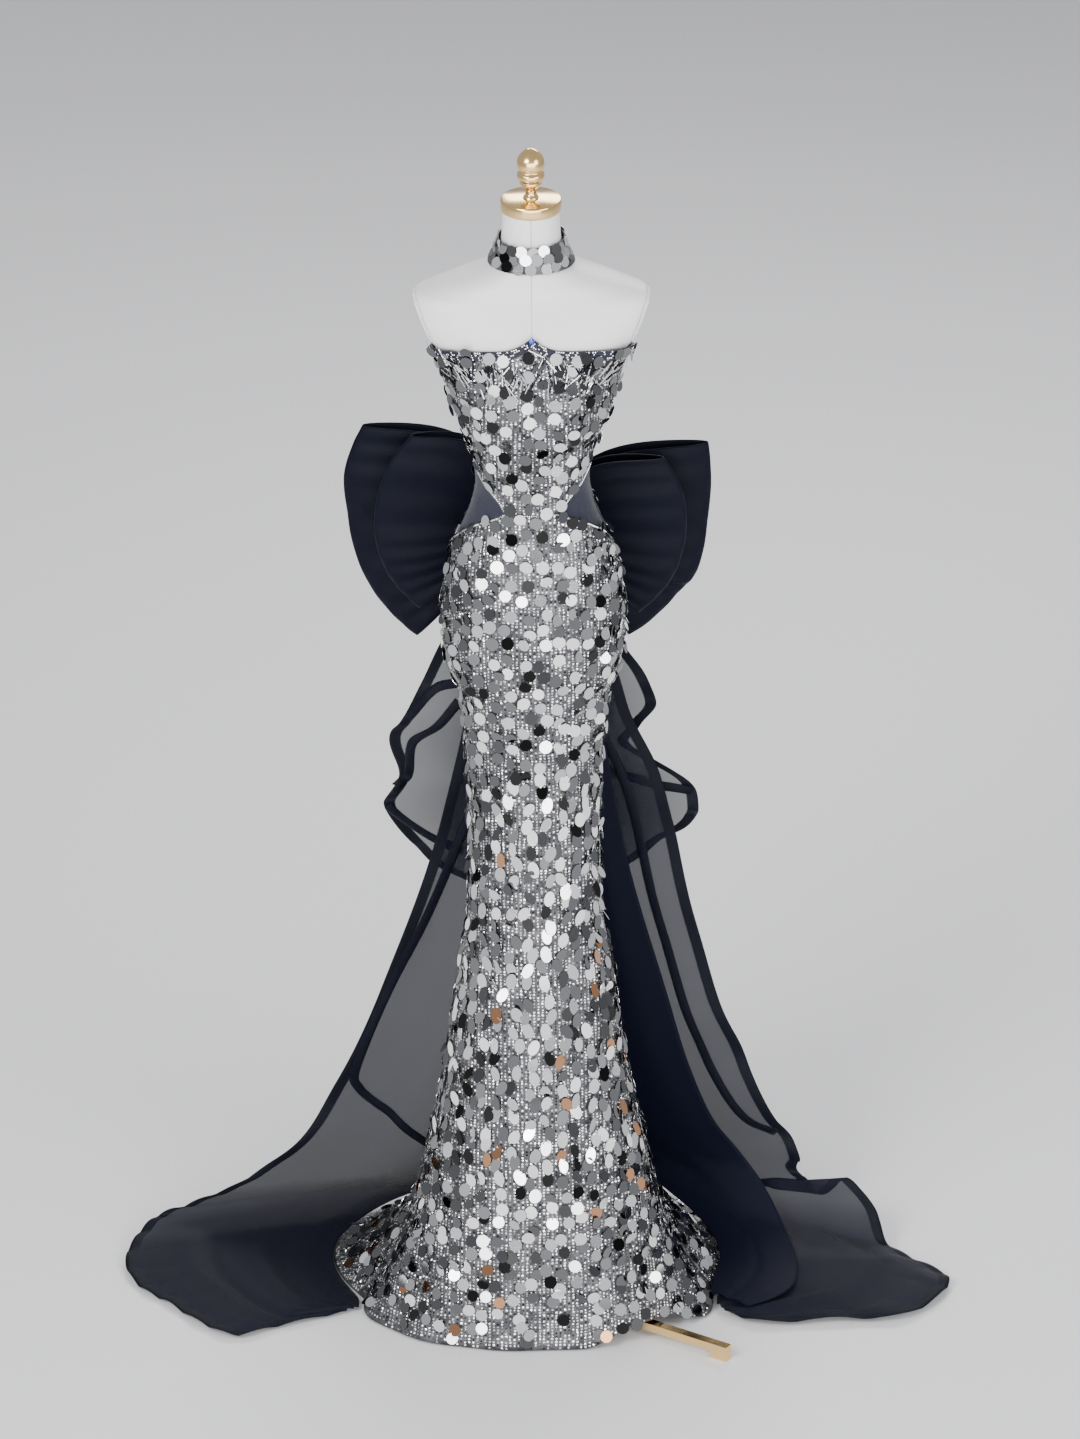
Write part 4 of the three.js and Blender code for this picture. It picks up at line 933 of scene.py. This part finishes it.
def neck_sequins():
    """The matching band round the neck of the form, with three rows of large paillettes."""
    angles = np.linspace(0, 360, 97)[:-1]
    levels = np.linspace(1806, 1846, 20)[:, None]
    places = np.stack([np.broadcast_to(angles, (20, 96)), np.broadcast_to(levels, (20, 96))], axis=-1)[::-1]
    cloth("visual_neck_band", on_figure(places, 0.4), 1.4, GROUND, ["neck_band"],
          closed=True)
    turns = np.arange(0, 360, NECK_DISC["step"])
    at = np.concatenate([np.stack([turns + first, np.full(len(turns), z)], axis=1) for z, first in NECK_ROWS])
    at = at + RANDOM.uniform(-2.5, 2.5, at.shape)
    size = RANDOM.uniform(0.92, 1.02, len(at)) * NECK_DISC["radius"]
    point, out, axes = laid_axes(at, size, size, NECK_DISC["thickness"], 0.14, 0.16, 0.5)
    shape, faces = disc_shape(NECK_DISC["sides"])
    lift = RANDOM.uniform(*NECK_DISC["lift"], len(at))[:, None]
    # Each neck paillette's grey is a painted reflection.
    small_pieces("paillettes_neck", point + out * lift, axes, shape, faces, PAILLETTES,
                 painted_reflection_tones(len(at)))


def zip_teeth():
    """Two interlocking rows of zip teeth down the middle of the back."""
    tooth = ZIP_TOOTH
    heights = np.arange(ZIP_FOOT + tooth["foot"], NECKLINE[10][1] - tooth["top"], tooth["pitch"])
    place = np.stack([np.full(len(heights), 180.0), heights], axis=1)
    point, out, rise, side = figure_frame(place[:, 0], place[:, 1])
    shift = np.where(np.arange(len(heights)) % 2, 0.5, -0.5)[:, None]
    axes = np.stack([side * tooth["width"], out * tooth["depth"], rise * tooth["height"]], axis=1)
    shape = np.array([[x, y, z] for x in (-0.7, 0.7) for y in (-0.7, 0.7) for z in (-0.5, 0.5)])
    faces = [np.array([[0, 1, 3, 2], [4, 6, 7, 5], [0, 4, 5, 1], [2, 3, 7, 6], [0, 2, 6, 4], [1, 5, 7, 3]])]
    small_pieces("zip_teeth", point + out * 0.5 + side * shift, axes, shape, faces, GILT,
                 np.ones(len(heights)))


def knot_centre_y(z):
    return figure(180, z)[..., 1] + 0.5 + KNOT["half_depth"]


def loop_grid(around, down, side, offset, lean, bulge, pleats, phase, outline):
    """Points of a bow loop. around runs out from the knot over the tip and back, down from its top to its
    foot. Pleats run from the knot to the tip and are deepest a third of the way out; finer creases
    fan out from the knot between them. The top edge puffs up steeply beside the knot."""
    low, high = LOOP_ROOT["start"], 360 - LOOP_ROOT["start"]
    turn = np.radians(low + (high - low) * around)
    start = math.cos(math.radians(low))
    out = (start - np.cos(turn)) / (start + 1)
    root_z = KNOT["height"] + LOOP_ROOT["half_height"] * (1 - 2 * down)
    root_y = knot_centre_y(root_z) + offset
    tip_y = knot_centre_y(KNOT["height"]) + offset + lean
    gap = np.where(around < 0.5, 1, -1) * LOOP_ROOT["half_gap"] * (1 - out)
    gap = gap + bulge * np.sin(turn) * np.sqrt(out)
    crease = PLEAT_DEPTH * np.sin(2 * np.pi * pleats * down + phase) * np.sqrt(out) * (1 - 0.75 * out)
    fine = FINE_CREASE["a_pleat"] * pleats * down + 0.5 * np.sin(5 * down + phase)
    fine = FINE_CREASE["depth"] * np.sin(2 * np.pi * fine + 3 * phase)
    fine = fine * np.sqrt(np.clip(out, 0, 1)) * (1 - 0.72 * out)
    edge = np.array(outline, float)
    rows = np.linspace(0, 1, len(edge))
    path = np.column_stack([rows, edge])
    angle, reach = np.moveaxis(smooth_row(path, down), -1, 0)
    angle = np.radians(angle)
    tip_z = KNOT["height"] + reach * np.sin(angle)
    rise = 1 - np.maximum(1 - out, 0) ** (1 + LOOP_PUFF * (1 - down) ** 1.5)
    return np.stack([side * (LOOP_ROOT["x"] * (1 - out) + reach * np.cos(angle) * out),
                     root_y * (1 - out) + tip_y * out - gap + crease + fine,
                     root_z * (1 - rise) + tip_z * rise], axis=-1)


def bow():
    """Four pleated loops and the knot that gathers them."""
    around, down = np.meshgrid(np.linspace(0, 1, 96), np.linspace(0, 1, 90))
    for name, shape in LOOPS.items():
        cloth(f"visual_{name}", loop_grid(around, down, **shape), ORGANZA, BOW, [name])
    turn, up = np.meshgrid(2 * np.pi * np.arange(96) / 96, np.linspace(-1, 1, 60))
    share = np.interp(up, [-1, -0.9, -0.75, 0, 0.75, 0.9, 1], [0.72, 0.92, 1, 0.98, 1, 0.92, 0.72])
    power = 2 / KNOT["boxiness"]
    fold = 1 - 0.035 * (0.5 + 0.5 * np.sin(9 * turn + 1.6 * np.sin(2 * up))) * (1 - 0.4 * np.abs(up))
    z = KNOT["height"] + KNOT["half_height"] * up
    round_x, round_y = np.cos(turn), np.sin(turn)
    x = KNOT["half_width"] * share * fold * np.sign(round_x) * np.abs(round_x) ** power
    y = KNOT["half_depth"] * share * fold * np.sign(round_y) * np.abs(round_y) ** power
    y = knot_centre_y(z) + y
    ring = np.stack([x, y, z], axis=-1)
    points = np.concatenate([ring.reshape(-1, 3), ring[:1].mean(axis=1), ring[-1:].mean(axis=1)])
    uv = np.concatenate([np.stack([turn * 0.03, up * 0.045], axis=-1).reshape(-1, 2), [[0, 0], [0, 0]]])
    faces = list(ring_faces(*ring.shape[:2]))
    knot = add("visual_knot", points, faces, BOW, ["bow_knot"], uv=uv)


def smooth_line(points, place):
    """Points along a centripetal Catmull-Rom curve through the given points, place from 0 to 1."""
    points = np.asarray(points, float)
    wide = np.concatenate([[2 * points[0] - points[1]], points, [2 * points[-1] - points[-2]]])
    at = np.clip(place, 0, 1) * (len(points) - 1)
    k = np.minimum(at.astype(int), len(points) - 2)
    t = (at - k)[:, None]
    p0, p1, p2, p3 = wide[k], wide[k + 1], wide[k + 2], wide[k + 3]
    d0 = np.linalg.norm(p1 - p0, axis=1, keepdims=True) ** 0.5
    d1 = np.linalg.norm(p2 - p1, axis=1, keepdims=True) ** 0.5
    d2 = np.linalg.norm(p3 - p2, axis=1, keepdims=True) ** 0.5
    t1 = ((p1 - p0) / d0 - (p2 - p0) / (d0 + d1) + (p2 - p1) / d1) * d1
    t2 = ((p2 - p1) / d1 - (p3 - p1) / (d1 + d2) + (p3 - p2) / d2) * d1
    c2 = -3 * p1 + 3 * p2 - 2 * t1 - t2
    c3 = 2 * p1 - 2 * p2 + t1 + t2
    return p1 + t1 * t + c2 * t**2 + c3 * t**3


# Where the braided folds cross the sheets. Columns: share of the way across, share of the way along
FOLD_BANDS = {
    "cascade_left": [[[0.62, 0.29], [0.85, 0.32], [0.96, 0.38]],
                     [[0.605, 0.342], [0.721, 0.423], [0.884, 0.55], [0.977, 0.64]],
                     [[0.97, 0.705], [0.884, 0.752], [0.767, 0.805], [0.6, 0.87]]],
    "cascade_right": [[[0.488, 0.557], [0.721, 0.591], [0.97, 0.611]]],
    "tail_left": [[[0.66, 0.195], [0.76, 0.228], [0.851, 0.265], [0.93, 0.305], [0.96, 0.347],
                   [0.94, 0.372], [0.86, 0.39], [0.638, 0.416], [0.447, 0.443], [0.33, 0.459],
                   [0.22, 0.474]]],
    "tail_right": [[[0.6, 0.11], [0.68, 0.15], [0.723, 0.192], [0.745, 0.234], [0.787, 0.293],
                    [0.8, 0.36], [0.84, 0.406], [0.95, 0.444]]],
}


def sheet_grid(table, side, folds, depth, phase, rows, columns, ruffle=(0, 0, 0)):
    """A hanging sheet between an inner edge on the skirt and an outer edge. Soft folds run down it and
    fade at both edges; where it lies on the floor they turn into low rises. ruffle is the height, the
    number of waves and the phase of the small frills along the outer edge."""
    rows_in = np.asarray(table, float)
    inner = figure(rows_in[:, 0], rows_in[:, 1], 0)
    plan = inner[:, :2] / np.linalg.norm(inner[:, :2], axis=1, keepdims=True)
    inner[:, :2] += plan * rows_in[:, 2:3]
    inner[:, 0] *= side
    outer = np.stack([side * rows_in[:, 3], rows_in[:, 4], rows_in[:, 5]], axis=1)
    v = np.linspace(0, 1, rows)
    a, b = smooth_line(inner, v)[:, None], smooth_line(outer, v)[:, None]
    u = np.linspace(0, 1, columns)[None, :, None]
    grid = a * (1 - u) + b * u
    u, v = u[..., 0], v[:, None]
    wave = depth * np.sin(np.pi * u) * np.sin(2 * np.pi * folds * u + phase)
    fine = 2 * np.pi * (3.3 * folds * u + 0.35 * np.sin(7 * v)) + phase
    fine = 0.22 * depth * np.sin(np.pi * u) * np.sin(fine)
    hung = smoothstep(v, 0, 0.2)
    upright = smoothstep(grid[..., 2], *LYING)
    height, waves, shift = ruffle
    frill = height * u**5 * np.sin(2 * np.pi * (waves * v + 0.15 * np.sin(9 * v)) + shift) * hung
    grid[..., 1] += (wave + fine + frill) * hung * upright
    grid[..., 2] += (np.abs(wave + fine) + 0.9 * np.abs(frill)) * hung * (1 - upright)
    return grid


def fold_band(name, grid, places):
    """The braid of a fold: a narrow strip that follows (across, along) places on a sheet's grid, just in
    front of it and a little raised on its upper side."""
    path = smooth_line(places, np.linspace(0, 1, FOLD_BAND["rows"]))
    row, column = path[:, 1] * (grid.shape[0] - 1), path[:, 0] * (grid.shape[1] - 1)
    r = np.clip(row.astype(int), 0, grid.shape[0] - 2)
    c = np.clip(column.astype(int), 0, grid.shape[1] - 2)
    tr, tc = (row - r)[:, None], np.clip(column - c, 0, 1)[:, None]
    line = ((grid[r, c] * (1 - tc) + grid[r, c + 1] * tc) * (1 - tr)
            + (grid[r + 1, c] * (1 - tc) + grid[r + 1, c + 1] * tc) * tr)
    normal = grid_normals(grid)[r, c]
    normal = normal * np.where(normal[:, 1:2] > 0, -1, 1)
    sideways = unit(np.cross(normal, np.gradient(line, axis=0)))
    share = np.linspace(-1, 1, FOLD_BAND["columns"])[None, :, None]
    strip = (line[:, None] + sideways[:, None] * share * FOLD_BAND["width"] / 2
             + normal[:, None] * (FOLD_BAND["away"] + 1.6 * np.cos(1.4 * share)))
    cloth(name, strip, FOLD_BAND["thickness"], BRAID, [])


def tails():
    """The two tails, the dark panel in the right one and the cascades. All but the panel have a braided
    outer edge."""
    sheets = {
        "tail_left": (TAIL_LEFT, -1, 1.5, 7, 0.5, 220, 48, (6, 13, 0.4)),
        "tail_right": (TAIL_RIGHT, 1, 1.5, 6, 2.2, 240, 48, (6, 14, 1.1)),
        "panel_right": (PANEL_RIGHT, 1, 1, 3, 0, 200, 32, (0, 0, 0)),
        "cascade_left": (CASCADE_LEFT, -1, 1, 8, 1, 150, 44, (4, 7, 0.8)),
        "cascade_right": (CASCADE_RIGHT, 1, 1, 8, 2, 150, 44, (4, 8, 2.0)),
    }
    for name, values in sheets.items():
        grid = sheet_grid(*values)
        finish, slot = (PANEL, "navy_panel") if name == "panel_right" else (TAIL, "organza")
        across = np.linspace(0, 1, grid.shape[1])[None]
        lying = 1 - smoothstep(grid[..., 2], *LYING)
        least = 0.45 if name.startswith("tail") else 0
        layers = np.maximum(np.maximum((1 - across) ** 1.4, least), 0.75 * lying)
        cloth(f"visual_{name}", grid, ORGANZA, finish, [name], tone=layers)
        for number, places in enumerate(FOLD_BANDS.get(name, [])):
            fold_band(f"visual_{name}_band{number}", grid, places)


def turned(name, profile, finish, nodes, sides=72):
    """A body turned round an upright axis from a profile of radius and height."""
    rows = np.asarray(profile, float)
    middle = rows[(rows[:, 0] > 0)]
    turn = 2 * np.pi * np.arange(sides) / sides
    ring = np.stack([middle[:, :1] * np.cos(turn), middle[:, :1] * np.sin(turn),
                     np.broadcast_to(middle[:, 1:], (len(middle), sides))], axis=-1)
    points = np.concatenate([ring.reshape(-1, 3), [[0, 0, rows[0, 1]], [0, 0, rows[-1, 1]]]])
    return add(name, points, list(ring_faces(len(middle), sides)), finish, nodes)


def smooth_profile(rows, steps):
    rows = np.asarray(rows, float)
    line = smooth_line(rows, np.linspace(0, 1, steps))
    line[0, 0] = line[-1, 0] = 0
    line[1:-1, 0] = np.maximum(line[1:-1, 0], 0.4)
    return line


def dress_form():
    """The smooth form: the figure drawn in by its clearance, cut flat at each armhole."""
    sides = 120
    levels = np.concatenate([np.linspace(TORSO_BOTTOM, 1660, 75), np.linspace(1664, 1830, 84),
                             np.linspace(1834, NECK_TOP, 20)])
    angles = 360 * np.arange(sides) / sides
    grid = figure(angles[None], levels[:, None], -FORM_CLEARANCE)
    low, high = np.array(ARM_PLANE["low"], float), np.array(ARM_PLANE["high"], float)
    along = (high - low) / np.linalg.norm(high - low)
    outward_way = np.array([along[1], -along[0]])
    side = np.sign(grid[..., 0])
    flat = np.stack([np.abs(grid[..., 0]), grid[..., 2]], axis=-1) - (low + high) / 2
    past = flat @ outward_way + ARM_PLANE["plate"] + SEAM_GAP
    reach = np.linalg.norm(high - low) / 2 + ARM_PLANE["plate"] / 2
    inside = 1 - smoothstep(np.abs(flat @ along), reach - 1, reach + 4)
    move = np.maximum(past, 0) * inside
    grid[..., 0] -= side * move * outward_way[0]
    grid[..., 2] -= move * outward_way[1]
    points = np.concatenate([grid.reshape(-1, 3), [[0, 0, TORSO_BOTTOM], [0, 0, NECK_TOP]]])
    bands, caps = ring_faces(len(levels), sides)
    add("visual_form", points, [outward(points, bands), caps], SATIN, ["form_torso"])


def stand():
    """The cap and finial on the neck."""
    cap = NECK_TOP + SEAM_GAP
    turned("visual_cap", [[r, cap + z] for r, z in CAP], GILT, ["neck_cap"])
    top = cap + CAP[-1][1] + SEAM_GAP
    profile = smooth_profile([[r, top + z] for r, z in FINIAL], 90)
    turned("visual_finial", profile, GILT, ["finial"])


def plain_nodes():
    """The frame's own pieces that stay in view get their finishes."""
    gilt = ["stand_pole", "stand_hub", "leg_front_right", "leg_left", "leg_back", "zip_slider"]
    finishes = dict.fromkeys(gilt, GILT)
    finishes.update({"arm_plate_left": SATIN, "arm_plate_right": SATIN, "back_zip": ZIP})
    for name, finish in finishes.items():
        node = bpy.data.objects[name]
        node.data.materials.clear()
        node.data.materials.append(finish)


def floor():
    """A pale plain floor, wide enough to fill the view."""
    data = bpy.data.meshes.new("floor")
    size = 16
    corners = [(-size, -size, 0), (size, -size, 0), (size, size, 0), (-size, size, 0)]
    data.from_pydata(corners, [], [(0, 1, 2, 3)])
    data.materials.append(material("pale floor", (0.74, 0.74, 0.75), 0.55)[0])
    linked("floor", data)


def soft_light(name, place, target, size, power, colour=(1, 1, 1)):
    lamp = bpy.data.lights.new(name, "AREA")
    lamp.shape = "RECTANGLE"
    lamp.size, lamp.size_y = size
    lamp.energy = power
    lamp.color = colour
    thing = linked(name, lamp)
    thing.location = place
    thing.rotation_euler = (Vector(target) - Vector(place)).to_track_quat("-Z", "Y").to_euler()


def lights():
    world = bpy.data.worlds.new("studio")
    world.use_nodes = True
    back = world.node_tree.nodes["Background"]
    back.inputs["Color"].default_value = (0.8, 0.81, 0.84, 1)
    back.inputs["Strength"].default_value = 0.7
    bpy.context.scene.world = world
    soft_light("key light", (-3.2, -4.2, 4.6), (0, 0, 1.0), (2.6, 2.6), 340)
    soft_light("fill light", (3.8, -3.4, 3.2), (0, 0, 1.0), (2.4, 2.8), 150, (0.97, 0.98, 1))
    soft_light("front light", (0.3, -6, 1.7), (0, 0, 0.9), (8, 2.6), 380)
    soft_light("back light", (0.6, 3.6, 3.4), (0, 0, 1.3), (3.0, 1.6), 120)


def camera():
    """A long lens from 26 degrees above the horizon, with the photo's small tilt to one side."""
    rise, distance, roll = math.radians(26), 15.5, math.radians(-0.35)
    target = Vector((POLE[0] + 0.009, POLE[1], 1.030))
    back = Vector((0, -math.cos(rise), math.sin(rise)))
    lens = bpy.data.cameras.new("camera")
    lens.sensor_width = 36
    lens.lens = 250
    lens.clip_end = 100
    thing = linked("camera", lens)
    thing.location = target + back * distance
    thing.rotation_mode = "QUATERNION"
    thing.rotation_quaternion = (-back).to_track_quat("-Z", "Y") @ Quaternion((0, 0, 1), roll)
    bpy.context.scene.camera = thing


silver_places = gown_panels()
sequins(silver_places)
neckline_beading()
neckline_discs()
crystal_drop()
stick_beads()
edge_lines()
neck_sequins()
zip_teeth()
bow()
tails()
dress_form()
stand()
plain_nodes()
floor()
lights()
camera()
